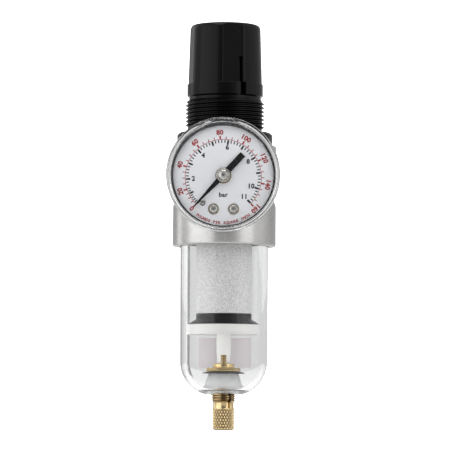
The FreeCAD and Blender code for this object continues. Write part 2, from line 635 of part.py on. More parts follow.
def pointer_outline(reach, tail):
    return [(0, -1.15), (reach, -0.2), (reach, 0.2), (0, 1.15), (-4.0, 1.2), (-tail, 1.2), (-tail, -1.2),
            (-4.0, -1.2)]


def make_gauge_pointer():
    blade = prism(pointer_outline(POINTER_REACH, POINTER_TAIL), POINTER_Z, POINTER_Z + POINTER_T)
    blade = blade.fuse(disc(2.4, POINTER_Z, POINTER_Z + POINTER_T)).cut(disc(0.82, 0, 60))
    return to_front(spun(blade.removeSplitter(), POINTER_REST))


def make_pointer_hub():
    """A domed bush pressed on the end of the arbor."""
    top = POINTER_Z + POINTER_T
    hub = turned([(0.62, POINTER_Z - 0.9), (0.8, POINTER_Z - 0.9), (0.8, top), (2.6, top), (2.6, top + 0.45),
                  (2.1, top + 0.5), (1.55, top + 1.25, 0.5, top + 1.6), (0, top + 1.6), (0, top + 0.2),
                  (0.62, top + 0.2)])
    return to_front(hub)


def tooth_points(teeth, backlash, addendum, dedendum):
    """One involute gear tooth round angle 0, as (radius, angle) pairs up one flank."""
    pitch_r = MODULE * teeth / 2
    base_r = pitch_r * math.cos(math.radians(20))
    flat = math.tan(math.radians(20)) - math.radians(20)
    half = math.pi / 2 / teeth + flat - backlash / 2 / pitch_r
    root_r = pitch_r - dedendum * MODULE
    tip_r = pitch_r + addendum * MODULE
    points = [(root_r, half)] if root_r < base_r else []
    low = max(base_r, root_r)
    for k in range(5):
        r = low + (tip_r - low) * k / 4
        a = math.acos(min(1.0, base_r / r))
        points.append((r, half - (math.tan(a) - a)))
    return points


def gear_outline(teeth, first, last, backlash, addendum, dedendum):
    """The toothed edge from tooth number first to last, anticlockwise."""
    flank = tooth_points(teeth, backlash, addendum, dedendum)
    outline = []
    for k in range(first, last + 1):
        middle = 2 * math.pi * k / teeth
        outline += [(r, middle - a) for r, a in flank]
        outline += [(r, middle + a) for r, a in reversed(flank)]
    return [(r * math.cos(a), r * math.sin(a)) for r, a in outline]


def centre_distance():
    return MODULE * (PINION_TEETH + SECTOR_TEETH) / 2


def make_pinion_arbor():
    """The pointer's arbor with its pinion; a tooth space faces the sector below."""
    outline = gear_outline(PINION_TEETH, 0, PINION_TEETH - 1, 0.06, 0.8, 1.3)
    pinion = spun(prism(outline, GEAR_Z - 0.3, GEAR_Z + GEAR_T + 0.3), 270 + 180.0 / PINION_TEETH)
    arbor = disc(0.6, FRAME_Z0 + PLATE_T + 0.05, POINTER_Z + 0.5)
    pivot = disc(0.5, FRAME_Z0 + 0.1, FRAME_Z0 + PLATE_T + 0.05)
    return to_front(pinion.fuse([arbor, pivot]).removeSplitter())


def make_sector_gear():
    """A toothed arm on its own arbor below the pinion, with a tail and pin for the link."""
    span = int(SECTOR_ARC / 360 * SECTOR_TEETH / 2)
    teeth = gear_outline(SECTOR_TEETH, -span, span, 0.06, 0.7, 1.2)
    rim_angle = math.pi * 2 * span / SECTOR_TEETH + 0.05
    inner = 7.2
    inner_edge = []
    for k in range(7):
        a = rim_angle * (1 - k / 3)
        inner_edge.append((inner * math.cos(a), inner * math.sin(a)))
    z1 = GEAR_Z + GEAR_T
    rim = prism(teeth + inner_edge, GEAR_Z, z1)
    arm = prism([(0, -1.4), (inner + 0.6, -0.9), (inner + 0.6, 0.9), (0, 1.4)], GEAR_Z, z1)
    tail = prism([(0, -1.2), (TAIL_R + 0.7, -0.7), (TAIL_R + 0.7, 0.7), (0, 1.2)], GEAR_Z, z1)
    pin = disc(0.35, LINK_Z - 0.1, GEAR_Z, TAIL_R, 0)
    tail_turn = TAIL_DIRECTION - SECTOR_START
    arbor = disc(0.6, FRAME_Z0 + PLATE_T + 0.05, FRAME_Z1 - 0.05)
    pivots = disc(0.45, FRAME_Z0 + 0.1, FRAME_Z1 + PLATE_T - 0.1)
    hub = disc(1.6, GEAR_Z, z1)
    sector = rim.fuse([arm, spun(tail, tail_turn), spun(pin, tail_turn), hub, arbor, pivots])
    sector = spun(sector.removeSplitter(), SECTOR_START)
    return to_front(moved(sector, 0, -centre_distance(), 0))


def tail_pin():
    """The place of the sector's tail pin at zero, in the gauge's own X and Y."""
    a = math.radians(TAIL_DIRECTION)
    return V(TAIL_R * math.cos(a), TAIL_R * math.sin(a) - centre_distance(), 0)


def tip_pin():
    a = math.radians(TUBE_TIP)
    return V(TIP_PIN_R * math.cos(a), TIP_PIN_R * math.sin(a), 0)


def make_link():
    """A bar from the sector's tail to the tube's tip; its far end is a slot."""
    run = tip_pin() - tail_pin()
    length = run.Length
    bar = box(0, length, -1.0, 1.0, LINK_Z, LINK_Z + 0.5)
    bar = bar.fuse([disc(1.0, LINK_Z, LINK_Z + 0.5), disc(1.0, LINK_Z, LINK_Z + 0.5, length, 0)])
    slot = box(length - 2.4, length, -0.55, 0.55, LINK_Z - 1, LINK_Z + 1)
    ends = [disc(0.55, LINK_Z - 1, LINK_Z + 1, x, 0) for x in (length - 2.4, length)]
    bar = bar.cut([slot, disc(0.4, LINK_Z - 1, LINK_Z + 1)] + ends)
    bar = spun(bar, math.degrees(math.atan2(run.y, run.x)))
    return to_front(moved(bar, tail_pin().x, tail_pin().y, 0))


def tube_section(half_w, z0, z1):
    x0 = TUBE_R - half_w
    x1 = TUBE_R + half_w
    return Part.Face(Part.makePolygon([V(x0, 0, z0), V(x1, 0, z0), V(x1, 0, z1), V(x0, 0, z1), V(x0, 0, z0)]))


def make_bourdon_tube():
    """A flat bronze tube bent in a C, closed at its tip, with the tip's bracket and pin."""
    start = -105.0
    sweep = 360 + start - TUBE_TIP
    outer = tube_section(0.8, TUBE_Z0, TUBE_Z1).revolve(O, Z_AXIS, -sweep)
    inner = tube_section(0.5, TUBE_Z0 + 0.3, TUBE_Z1 - 0.3).revolve(O, Z_AXIS, -(sweep - 4))
    tube_c = spun(outer.cut(inner), start).cut(box(-4.5, 4.5, -20, 0, 25, 40))
    bracket = box(TIP_PIN_R - 0.8, TUBE_R + 0.8, -0.8, 0.8, TUBE_Z1, TUBE_Z1 + 1.0)
    bracket = bracket.fuse(disc(0.35, TUBE_Z1 + 1.0, LINK_Z + 0.7, TIP_PIN_R, 0))
    return to_front(tube_c.fuse(spun(bracket, TUBE_TIP)).removeSplitter())


def make_movement_frame():
    """Two brass plates on three pillars; they carry both arbors."""
    back = box(-6.8, 6.8, -12.6, 4.6, FRAME_Z0, FRAME_Z0 + PLATE_T)
    front = box(-6.8, 6.8, -14.4, 4.6, FRAME_Z1, FRAME_Z1 + PLATE_T)
    places = [(-5.5, 3.2), (5.5, 3.2), (-5.2, -11.2)]
    pillars = [disc(0.9, FRAME_Z0, FRAME_Z1 + PLATE_T, x, y) for x, y in places]
    frame = back.fuse([front] + pillars)
    low = -centre_distance()
    holes = [disc(0.5 + RUN, FRAME_Z0 - 1, FRAME_Z0 + 2), disc(0.6 + RUN, FRAME_Z1 - 1, FRAME_Z1 + 2),
             disc(0.45 + RUN, FRAME_Z0 - 1, FRAME_Z0 + 2, 0, low),
             disc(0.45 + RUN, FRAME_Z1 - 1, FRAME_Z1 + 2, 0, low)]
    holes += [disc(0.7, FRAME_Z1 - 1, FRAME_Z1 + 2, x, y) for x, y in DIAL_SCREWS]
    return to_front(frame.cut(holes).removeSplitter())


def make_hairspring():
    """A flat spiral strip round the pinion's arbor."""
    turns, steps = 4, 96
    r0, r1, half_t = 1.1, 3.7, 0.07
    outside, inside = [], []
    for k in range(steps + 1):
        a = 2 * math.pi * turns * k / steps
        r = r0 + (r1 - r0) * k / steps
        outside.append(((r + half_t) * math.cos(a), (r + half_t) * math.sin(a)))
        inside.append(((r - half_t) * math.cos(a), (r - half_t) * math.sin(a)))
    return to_front(prism(outside + inside[::-1], GEAR_Z + 2.4, GEAR_Z + 2.9))


NODES = {
    "body": make_body,
    "rear_port_plug": make_rear_port_plug,
    "plug_seal": make_plug_seal,
    "bonnet": make_bonnet,
    "adjusting_knob": make_knob,
    "adjusting_screw": make_adjusting_screw,
    "spindle_clip": make_spindle_clip,
    "thrust_washer": make_thrust_washer,
    "spring_nut": make_spring_nut,
    "regulating_spring": make_regulating_spring,
    "diaphragm_plate": make_diaphragm_plate,
    "diaphragm": make_diaphragm,
    "relief_seat": make_relief_seat,
    "valve_stem": make_valve_stem,
    "valve_seal": make_valve_seal,
    "valve_spring": make_valve_spring,
    "valve_guide": make_valve_guide,
    "stem_o_ring": make_stem_o_ring,
    "air_deflector": make_air_deflector,
    "filter_gasket": make_filter_gasket,
    "filter_element": make_filter_element,
    "filter_retainer": make_filter_retainer,
    "baffle": make_baffle,
    "bowl": make_bowl,
    "bowl_o_ring": make_bowl_o_ring,
    "bowl_label": make_bowl_label,
    "drain_gasket": make_drain_gasket,
    "drain_hex": make_drain_hex,
    "drain_ring": make_drain_ring,
    "drain_screw": make_drain_screw,
    "gauge_socket": make_gauge_socket,
    "gauge_seal": make_gauge_seal,
    "gauge_case": make_gauge_case,
    "gauge_lens": make_gauge_lens,
    "gauge_dial": make_gauge_dial,
    "dial_screws": make_dial_screws,
    "stop_pin": make_stop_pin,
    "gauge_pointer": make_gauge_pointer,
    "pointer_hub": make_pointer_hub,
    "pinion_arbor": make_pinion_arbor,
    "sector_gear": make_sector_gear,
    "link": make_link,
    "bourdon_tube": make_bourdon_tube,
    "movement_frame": make_movement_frame,
    "hairspring": make_hairspring,
}

os.makedirs("parts", exist_ok=True)
for name, make in NODES.items():
    shape = make()
    shape.exportStep("parts/" + name + ".step")
    print(name, shape.isValid(), len(shape.Solids), round(shape.Volume, 2))
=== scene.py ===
import json
import math

import bmesh
import bpy
from mathutils import Matrix, Vector


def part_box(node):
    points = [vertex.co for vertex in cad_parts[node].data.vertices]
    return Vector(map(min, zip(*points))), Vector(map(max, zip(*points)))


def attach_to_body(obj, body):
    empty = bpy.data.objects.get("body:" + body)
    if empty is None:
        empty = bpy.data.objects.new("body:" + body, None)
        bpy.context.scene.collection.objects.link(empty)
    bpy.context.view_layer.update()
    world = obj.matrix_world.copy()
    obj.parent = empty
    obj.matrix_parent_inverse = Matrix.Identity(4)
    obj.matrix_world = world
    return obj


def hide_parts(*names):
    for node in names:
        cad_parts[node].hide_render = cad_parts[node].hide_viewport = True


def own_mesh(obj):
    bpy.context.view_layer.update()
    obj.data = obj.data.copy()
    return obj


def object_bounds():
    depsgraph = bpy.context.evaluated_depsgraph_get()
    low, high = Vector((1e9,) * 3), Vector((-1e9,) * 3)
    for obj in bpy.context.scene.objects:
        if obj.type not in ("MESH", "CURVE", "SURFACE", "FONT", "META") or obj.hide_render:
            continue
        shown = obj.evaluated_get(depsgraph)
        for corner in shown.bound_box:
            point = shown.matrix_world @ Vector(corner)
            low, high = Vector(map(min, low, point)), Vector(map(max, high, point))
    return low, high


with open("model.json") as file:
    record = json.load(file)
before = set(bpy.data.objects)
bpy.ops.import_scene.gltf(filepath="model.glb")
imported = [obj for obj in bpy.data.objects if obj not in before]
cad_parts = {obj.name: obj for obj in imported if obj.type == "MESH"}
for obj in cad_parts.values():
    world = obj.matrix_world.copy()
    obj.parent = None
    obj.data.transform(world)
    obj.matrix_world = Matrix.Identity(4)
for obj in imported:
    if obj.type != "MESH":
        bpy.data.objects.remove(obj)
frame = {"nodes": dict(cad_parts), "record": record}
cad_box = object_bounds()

# An air filter-regulator with its gauge, clear bowl and manual drain. The gauge faces -Y and +Z is up.
# Lengths in the outlines are millimetres in the CAD's frame; the meshes are made in metres.
# An outline is a list of (radius, height) or (radius, height, corner radius).
MM = 0.001
TAU = 2 * math.pi


# ---------------------------------------------------------------- materials
class Nodes:
    """A short way to build a node material."""

    def __init__(self, name):
        self.material = bpy.data.materials.new(name)
        self.material.use_nodes = True
        self.tree = self.material.node_tree
        self.shader = self.tree.nodes["Principled BSDF"]
        self.place = self.add("ShaderNodeTexCoord").outputs["Object"]

    def add(self, kind, **settings):
        node = self.tree.nodes.new(kind)
        for key, value in settings.items():
            setattr(node, key, value)
        return node

    def link(self, a, b):
        self.tree.links.new(a, b)

    def set(self, **values):
        for key, value in values.items():
            self.shader.inputs[key.replace("_", " ")].default_value = value

    def noise(self, scale, detail, rough=0.5):
        node = self.add("ShaderNodeTexNoise")
        node.inputs["Scale"].default_value = scale
        node.inputs["Detail"].default_value = detail
        node.inputs["Roughness"].default_value = rough
        self.link(self.place, node.inputs["Vector"])
        return node.outputs["Fac"]

    def cells(self, scale):
        node = self.add("ShaderNodeTexVoronoi")
        node.inputs["Scale"].default_value = scale
        self.link(self.place, node.inputs["Vector"])
        return node.outputs

    def ramp(self, source, stops):
        node = self.add("ShaderNodeValToRGB")
        first, last = node.color_ramp.elements
        first.position, first.color = stops[0]
        last.position, last.color = stops[-1]
        for position, colour in stops[1:-1]:
            node.color_ramp.elements.new(position).color = colour
        self.link(source, node.inputs["Fac"])
        return node.outputs["Color"]

    def span(self, source, low, high):
        """Maps 0..1 to low..high."""
        node = self.add("ShaderNodeMapRange")
        node.inputs["To Min"].default_value = low
        node.inputs["To Max"].default_value = high
        self.link(source, node.inputs["Value"])
        return node.outputs["Result"]

    def bump(self, height, strength, distance):
        node = self.add("ShaderNodeBump")
        node.inputs["Strength"].default_value = strength
        node.inputs["Distance"].default_value = distance
        self.link(height, node.inputs["Height"])
        self.link(node.outputs["Normal"], self.shader.inputs["Normal"])

    def to(self, source, socket):
        self.link(source, self.shader.inputs[socket])

    def radius_and_height(self):
        """Distance from the vertical axis and height, both in metres."""
        split = self.add("ShaderNodeSeparateXYZ")
        self.link(self.place, split.inputs["Vector"])
        flat = self.add("ShaderNodeCombineXYZ")
        self.link(split.outputs["X"], flat.inputs["X"])
        self.link(split.outputs["Y"], flat.inputs["Y"])
        length = self.add("ShaderNodeVectorMath", operation="LENGTH")
        self.link(flat.outputs["Vector"], length.inputs[0])
        return length.outputs["Value"], split.outputs["Z"]

    def step(self, source, start, end, low=0.0, high=1.0):
        """low up to start, high from end (millimetres), straight between."""
        node = self.add("ShaderNodeMapRange")
        ends = {"From Min": start * MM, "From Max": end * MM, "To Min": low, "To Max": high}
        for key, value in ends.items():
            node.inputs[key].default_value = value
        self.link(source, node.inputs["Value"])
        return node.outputs["Result"]

    def combine(self, operation, a, b):
        node = self.add("ShaderNodeMath", operation=operation)
        self.link(a, node.inputs[0])
        self.link(b, node.inputs[1])
        return node.outputs["Value"]


def grey(value):
    return (value, value, value, 1.0)


# scales of the noises, in cells per metre, and heights of the reliefs, in metres
PLASTIC_CLOUDS, PLASTIC_GLOSS, PLASTIC_RELIEF = 140, 260, 0.00006
METAL_CLOUDS, METAL_RELIEF = 300, 0.00005
CLEAR_WAVES, CLEAR_STRENGTH, CLEAR_RELIEF = 60, 0.02, 0.0002
BEADS, BEAD_CLOUDS, BEAD_GLINTS, BEAD_RELIEF = 2800, 1100, 1700, 0.00016


def moulded(name, colour, rough, grain, strength, tint, specular=0.5):
    """Moulded plastic or rubber: a fine grain, slightly uneven gloss and colour."""
    m = Nodes(name)
    m.set(Specular_IOR_Level=specular)
    low = tuple(c * (1 - tint) for c in colour) + (1,)
    high = tuple(c * (1 + tint) for c in colour) + (1,)
    m.to(m.ramp(m.noise(PLASTIC_CLOUDS, 2), [(0.3, low), (0.7, high)]), "Base Color")
    m.to(m.span(m.noise(PLASTIC_GLOSS, 3), rough - 0.05, rough + 0.06), "Roughness")
    m.bump(m.noise(grain, 4, 0.6), strength, PLASTIC_RELIEF)
    return m.material


def metal(name, colour, rough, grain, strength, tint):
    """Metal with a fine grain and slightly uneven colour and roughness."""
    m = Nodes(name)
    m.set(Metallic=1.0)
    low = tuple(c * (1 - tint) for c in colour) + (1,)
    high = tuple(min(1.0, c * (1 + tint)) for c in colour) + (1,)
    m.to(m.ramp(m.noise(METAL_CLOUDS, 3), [(0.3, low), (0.7, high)]), "Base Color")
    m.to(m.span(m.noise(grain * 0.4, 3), rough * 0.8, rough * 1.2), "Roughness")
    m.bump(m.noise(grain, 4, 0.6), strength, METAL_RELIEF)
    return m.material


def lens_plastic(name):
    """The gauge's clear cap. A dark specular tint is a weaker head-on reflection."""
    m = Nodes(name)
    m.set(Base_Color=(0.985, 0.988, 0.99, 1), Transmission_Weight=1.0, IOR=1.49, Roughness=0.01,
          Specular_Tint=grey(0.4))
    m.bump(m.noise(CLEAR_WAVES, 2), CLEAR_STRENGTH, CLEAR_RELIEF)
    return m.material


def bowl_plastic(name):
    """The bowl's clear plastic, matt on the boss that carries the drain."""
    m = Nodes(name)
    m.set(Base_Color=(0.975, 0.979, 0.98, 1), IOR=1.56, Specular_Tint=grey(0.25))
    m.bump(m.noise(CLEAR_WAVES, 2), CLEAR_STRENGTH, CLEAR_RELIEF)
    radius, height = m.radius_and_height()
    near = m.step(radius, BOSS_FOOT_R + 0.1, BOSS_FOOT_R + 0.3, 1.0, 0.0)
    above = m.step(height, BOSS_FOOT_Z - 0.2, BOSS_FOOT_Z)
    boss = m.combine("MULTIPLY", near, above)
    m.to(m.span(boss, 0.01, 0.08), "Roughness")
    m.to(m.span(boss, 1.0, 0.40), "Transmission Weight")
    return m.material


def drain_brass(name, colour):
    """Turned brass with painted shade, darker at the bottom of the knurl and of the thread."""
    m = Nodes(name)
    m.set(Metallic=1.0)
    radius, height = m.radius_and_height()
    # painted shade mask: 0 in the grooves and 1 on the crests, first of the knurl and then of the thread;
    # plain elsewhere
    knurl = m.step(radius, 3.80, 4.08)
    above_thread = m.step(height, DRAIN_THREAD_TOP, DRAIN_THREAD_TOP + 0.1)
    groove = m.combine("MAXIMUM", m.step(radius, 4.00, 4.70), above_thread)
    on_thread = m.step(height, DRAIN_THREAD_LOW - 0.2, DRAIN_THREAD_LOW - 0.1)
    on_shank = m.step(height, KNURL_TOP, KNURL_TOP + 0.1)
    upper = m.combine("MAXIMUM", m.combine("SUBTRACT", on_shank, on_thread), groove)
    painted_shade_mask = m.add("ShaderNodeMix")
    m.link(on_shank, painted_shade_mask.inputs[0])
    m.link(knurl, painted_shade_mask.inputs[2])
    m.link(upper, painted_shade_mask.inputs[3])
    # painted shade: the brass at the bottom of the grooves is darkened to 30 percent
    dark = tuple(c * 0.30 for c in colour) + (1,)
    m.to(m.ramp(painted_shade_mask.outputs[0], [(0.0, dark), (0.9, colour + (1,))]), "Base Color")
    m.to(m.span(m.noise(1200, 3), 0.07, 0.12), "Roughness")
    m.bump(m.noise(3000, 4, 0.6), 0.06, METAL_RELIEF)
    return m.material


def sintered(name):
    """Sintered beads: pale grains with painted shade in the pores and a few painted glints."""
    m = Nodes(name)
    bead = m.cells(BEADS)
    # painted shade: the pores between the beads are coloured darker
    pore_shade = m.ramp(bead["Distance"], [(0.30, (0.99, 0.985, 0.975, 1)), (0.74, (0.60, 0.60, 0.595, 1))])
    cloud = m.ramp(m.noise(BEAD_CLOUDS, 4, 0.7), [(0.35, grey(0.90)), (0.60, grey(1.0))])
    mix = m.add("ShaderNodeMix", data_type="RGBA", blend_type="MULTIPLY")
    mix.inputs["Factor"].default_value = 1.0
    m.link(pore_shade, mix.inputs["A"])
    m.link(cloud, mix.inputs["B"])
    # painted highlights: a few cells are coloured near white as glints
    painted_glint = m.ramp(m.cells(BEAD_GLINTS)["Color"], [(0.86, grey(0.0)), (0.92, grey(1.0))])
    lit = m.add("ShaderNodeMix", data_type="RGBA")
    m.link(painted_glint, lit.inputs["Factor"])
    m.link(mix.outputs["Result"], lit.inputs["A"])
    lit.inputs["B"].default_value = (0.95, 0.95, 0.94, 1)
    m.to(lit.outputs["Result"], "Base Color")
    m.set(Roughness=0.55)
    m.bump(bead["Distance"], 0.5, -BEAD_RELIEF)
    return m.material


def print_ink(name, colour):
    """Printing ink, slightly uneven in colour."""
    m = Nodes(name)
    low = tuple(c * 0.85 for c in colour) + (1,)
    m.to(m.ramp(m.noise(900, 3), [(0.35, low), (0.65, colour + (1,))]), "Base Color")
    m.set(Roughness=0.5)
    return m.material


# heights and radii that both a material and a shape need
KNURL_LOW, KNURL_TOP = -92.8, -85.4
DRAIN_THREAD_LOW, DRAIN_THREAD_TOP = -82.8, -72.1
BOSS_FOOT_R, BOSS_FOOT_Z = 7.4, -77.2

MAT = {
    "cast": metal("die_cast_satin", (0.378, 0.375, 0.368), 0.26, 2400, 0.22, 0.04),
    "black": moulded("black_moulded", (0.0022, 0.0022, 0.0023), 0.15, 2600, 0.10, 0.12, 0.09),
    "thread_black": moulded("black_thread", (0.0018, 0.0018, 0.0020), 0.18, 2600, 0.10, 0.12, 0.10),
    "inner_black": moulded("inner_black", (0.02, 0.02, 0.022), 0.5, 2200, 0.2, 0.1),
    "white": moulded("white_moulded", (0.95, 0.94, 0.92), 0.35, 1800, 0.10, 0.02),
    "grey_seal": moulded("pale_seal", (0.62, 0.62, 0.60), 0.6, 1800, 0.15, 0.05),
    "rubber": moulded("black_rubber", (0.015, 0.015, 0.016), 0.55, 2400, 0.25, 0.1),
    "bowl": bowl_plastic("clear_bowl"),
    "drain_brass": drain_brass("drain_brass", (0.56, 0.43, 0.235)),
    "lens": lens_plastic("clear_lens"),
    "brass": metal("turned_brass", (0.46, 0.345, 0.17), 0.08, 3000, 0.10, 0.08),
    "brass_dull": metal("drawn_brass", (0.66, 0.49, 0.25), 0.34, 3000, 0.12, 0.08),
    "bronze": metal("bronze", (0.55, 0.36, 0.20), 0.35, 2600, 0.12, 0.08),
    "steel": metal("bright_steel", (0.38, 0.37, 0.35), 0.05, 3000, 0.05, 0.05),
    "wire": metal("spring_wire", (0.40, 0.40, 0.41), 0.35, 3000, 0.15, 0.1),
    "zinc": metal("zinc_plate", (0.62, 0.63, 0.60), 0.32, 2600, 0.15, 0.08),
    "case": moulded("case_enamel", (0.012, 0.012, 0.013), 0.25, 1200, 0.08, 0.1),
    "dial": moulded("dial_face", (0.81, 0.815, 0.84), 0.42, 1500, 0.04, 0.012),
    "pointer": moulded("pointer_black", (0.004, 0.004, 0.0045), 0.42, 2000, 0.08, 0.1, 0.15),
    "ink_black": print_ink("ink_black", (0.004, 0.004, 0.005)),
    "ink_red": print_ink("ink_red", (0.36, 0.009, 0.016)),
    "media": sintered("sintered_media"),
    "label": moulded("label_back", (0.88, 0.765, 0.79), 0.6, 1400, 0.10, 0.02),
}
# the label is thin paper, so light from behind shows through it
LABEL_SHADER = MAT["label"].node_tree.nodes["Principled BSDF"]
LABEL_SHADER.inputs["Subsurface Weight"].default_value = 1.0
LABEL_SHADER.inputs["Subsurface Radius"].default_value = (1.0, 1.0, 1.0)
LABEL_SHADER.inputs["Subsurface Scale"].default_value = 0.00045

CAD_LOOK = {
    "body": "cast", "rear_port_plug": "cast", "plug_seal": "rubber", "bonnet": "thread_black",
    "adjusting_knob": "black", "adjusting_screw": "zinc", "spindle_clip": "wire", "thrust_washer": "steel",
    "spring_nut": "brass_dull", "regulating_spring": "wire", "diaphragm_plate": "zinc",
    "diaphragm": "rubber", "relief_seat": "brass_dull", "valve_stem": "brass_dull",
    "valve_seal": "rubber", "valve_spring": "wire", "valve_guide": "inner_black",
    "stem_o_ring": "rubber", "air_deflector": "inner_black", "filter_gasket": "rubber",
    "filter_element": "media", "filter_retainer": "thread_black", "baffle": "white", "bowl": "bowl",
    "bowl_o_ring": "rubber", "bowl_label": "label", "drain_gasket": "rubber", "drain_hex": "brass",
    "drain_ring": "brass", "drain_screw": "drain_brass", "gauge_socket": "brass_dull",
    "gauge_seal": "grey_seal", "gauge_case": "case", "gauge_lens": "lens", "gauge_dial": "dial",
    "dial_screws": "steel", "stop_pin": "steel", "gauge_pointer": "pointer", "pointer_hub": "steel",
    "pinion_arbor": "steel", "sector_gear": "brass_dull", "link": "brass_dull", "bourdon_tube": "bronze",
    "movement_frame": "brass_dull", "hairspring": "bronze",
}
for node, look in CAD_LOOK.items():
    mesh = frame["nodes"][node].data
    mesh.materials.clear()
    mesh.materials.append(MAT[look])

BODY_OF = {}
for body, members in frame["record"]["behaviour"]["bodies"].items():
    for member in members:
        BODY_OF[member] = body


# ---------------------------------------------------------------- mesh helpers
def shade(bm, sharp):
    """Smooth faces, with a hard edge wherever two meet at more than this many degrees."""
    limit = math.radians(sharp)
    for face in bm.faces:
        face.smooth = True
    for edge in bm.edges:
        edge.smooth = len(edge.link_faces) == 2 and edge.calc_face_angle(0.0) < limit


def finish_mesh(name, bm, material, sharp=30.0, weld=2e-6):
    """Welds, cleans and shades a bmesh and makes the object."""
    bmesh.ops.remove_doubles(bm, verts=bm.verts, dist=weld)
    bmesh.ops.dissolve_degenerate(bm, edges=bm.edges, dist=weld * 0.5)
    bmesh.ops.delete(bm, geom=[e for e in bm.edges if not e.link_faces], context="EDGES")
    bmesh.ops.recalc_face_normals(bm, faces=bm.faces)
    shade(bm, sharp)
    mesh = bpy.data.meshes.new(name)
    bm.to_mesh(mesh)
    bm.free()
    mesh.materials.append(MAT[material])
    obj = bpy.data.objects.new(name, mesh)
    bpy.context.scene.collection.objects.link(obj)
    return obj


def soft(points, radius, steps=4):
    """Rounds an outline's corners; a point's third value is its own radius. Threads pass through."""
    out = []
    count = len(points)
    for i, point in enumerate(points):
        if isinstance(point, dict):
            out.append(point)
            continue
        before, after = points[i - 1], points[(i + 1) % count]
        r = point[2] if len(point) > 2 else radius
        if isinstance(before, dict) or isinstance(after, dict) or r <= 0 or point[0] <= 1e-6:
            out.append(point[:2])
            continue
        p, a, b = Vector(point[:2]), Vector(before[:2]), Vector(after[:2])
        da, db = a - p, b - p
        if min(da.length, db.length) < 1e-6 or da.angle(db) > math.radians(172):
            out.append(point[:2])
            continue
        back = min(r / math.tan(da.angle(db) / 2), da.length * 0.48, db.length * 0.48)
        start, end = p + da.normalized() * back, p + db.normalized() * back
        for k in range(steps + 1):
            t = k / steps
            q = start * (1 - t) ** 2 + p * 2 * t * (1 - t) + end * t * t
            out.append((q.x, q.y))
    return out


def thread(crest, root, pitch, z0, z1, taper=0.9):
    """An outline's entry for a right-hand thread; it fades out at its ends over its depth x taper."""
    return {"crest": crest, "root": root, "pitch": pitch, "z0": z0, "z1": z1, "taper": taper}


# one turn of the thread's form: how far along the pitch, and how far from root to crest
THREAD_FORM = ((0.0, 0.0), (0.14, 0.0), (0.5, 1.0), (0.64, 1.0))


def thread_rows(t):
    """Rows that follow the helix, so the crest is one clean line."""
    low, high = sorted((t["z0"], t["z1"]))
    turns = int(math.ceil((high - low) / t["pitch"])) + 1
    side = 1 if t["crest"] > t["root"] else -1
    rows = []
    for turn in range(turns + 1):
        for phase, height in THREAD_FORM:
            def row(a, turn=turn, phase=phase, height=height):
                z = low + (turn + phase - 1 + a / TAU) * t["pitch"]
                z = min(max(z, low), high)
                r = t["root"] + (t["crest"] - t["root"]) * height
                room = min(z - low, high - z) / t["taper"]
                if side > 0:
                    return min(r, t["root"] + room), z
                return max(r, t["root"] - room), z
            rows.append(row)
    return rows if t["z0"] < t["z1"] else rows[::-1]


def revolve(name, outline, material, segments=160, angles=None, warp=None, sharp=30.0):
    """Turns a closed outline round Z. warp(r, z, angle) may move a point; angles replaces even ones."""
    angles = angles or [TAU * k / segments for k in range(segments)]
    turns = list(angles) + [angles[0] + TAU]
    rows = []
    for point in outline:
        if isinstance(point, dict):
            rows += thread_rows(point)
        else:
            rows.append(lambda a, p=point: (p[0], p[1]))
    bm = bmesh.new()
    grid = []
    for row in rows:
        line = []
        for a in turns:
            r, z = row(a)
            if warp:
                r, z = warp(r, z, a)
            line.append(bm.verts.new((r * MM * math.cos(a), r * MM * math.sin(a), z * MM)))
        grid.append(line)
    grid.append(grid[0])
    for low, high in zip(grid, grid[1:]):
        for k in range(len(turns) - 1):
            bm.faces.new((low[k], low[k + 1], high[k + 1], high[k]))
    return finish_mesh(name, bm, material, sharp)


def prism(name, points, z0, z1, material, bevel=0.0):
    """A flat outline of (x, y) raised from z0 to z1."""
    bm = bmesh.new()
    low = [bm.verts.new((x * MM, y * MM, z0 * MM)) for x, y in points]
    high = [bm.verts.new((x * MM, y * MM, z1 * MM)) for x, y in points]
    bm.faces.new(low[::-1])
    bm.faces.new(high)
    for k in range(len(points)):
        n = (k + 1) % len(points)
        bm.faces.new((low[k], low[n], high[n], high[k]))
    if bevel:
        rim = [e for e in bm.edges if abs(e.verts[0].co.z - e.verts[1].co.z) < 1e-9]
        bmesh.ops.bevel(bm, geom=rim, offset=bevel * MM, segments=2, profile=0.5, affect="EDGES")
    return finish_mesh(name, bm, material)


def circle(r, count, x=0.0, y=0.0, turn=0.0):
    """The points of a circle about (x, y)."""
    angles = [TAU * k / count + turn for k in range(count)]
    return [(x + r * math.cos(a), y + r * math.sin(a)) for a in angles]


def hexagon(flats, turn=0.0):
    """A hexagon by its width across flats, turned by degrees."""
    return circle(flats / 2 / math.cos(math.pi / 6), 6, turn=math.radians(turn))


def rod(name, r, z0, z1, material, count=32, x=0.0, y=0.0):
    """A round bar along Z."""
    return prism(name, circle(r, count, x, y), z0, z1, material)


def slab(name, half_x, y0, y1, z0, z1, material):
    """A block, centred on x = 0."""
    return prism(name, [(-half_x, y0), (half_x, y0), (half_x, y1), (-half_x, y1)], z0, z1, material)


def turned(obj, matrix):
    """Moves a piece's mesh; its object stays at the origin."""
    obj.data.transform(matrix)
    return obj


TO_FRONT = Matrix.Rotation(math.radians(90), 4, "X")
TO_RIGHT = Matrix.Rotation(math.radians(90), 4, "Y")


def spin(degrees):
    return Matrix.Rotation(math.radians(degrees), 4, "Z")


def shift(x, y, z):
    return Matrix.Translation((x * MM, y * MM, z * MM))


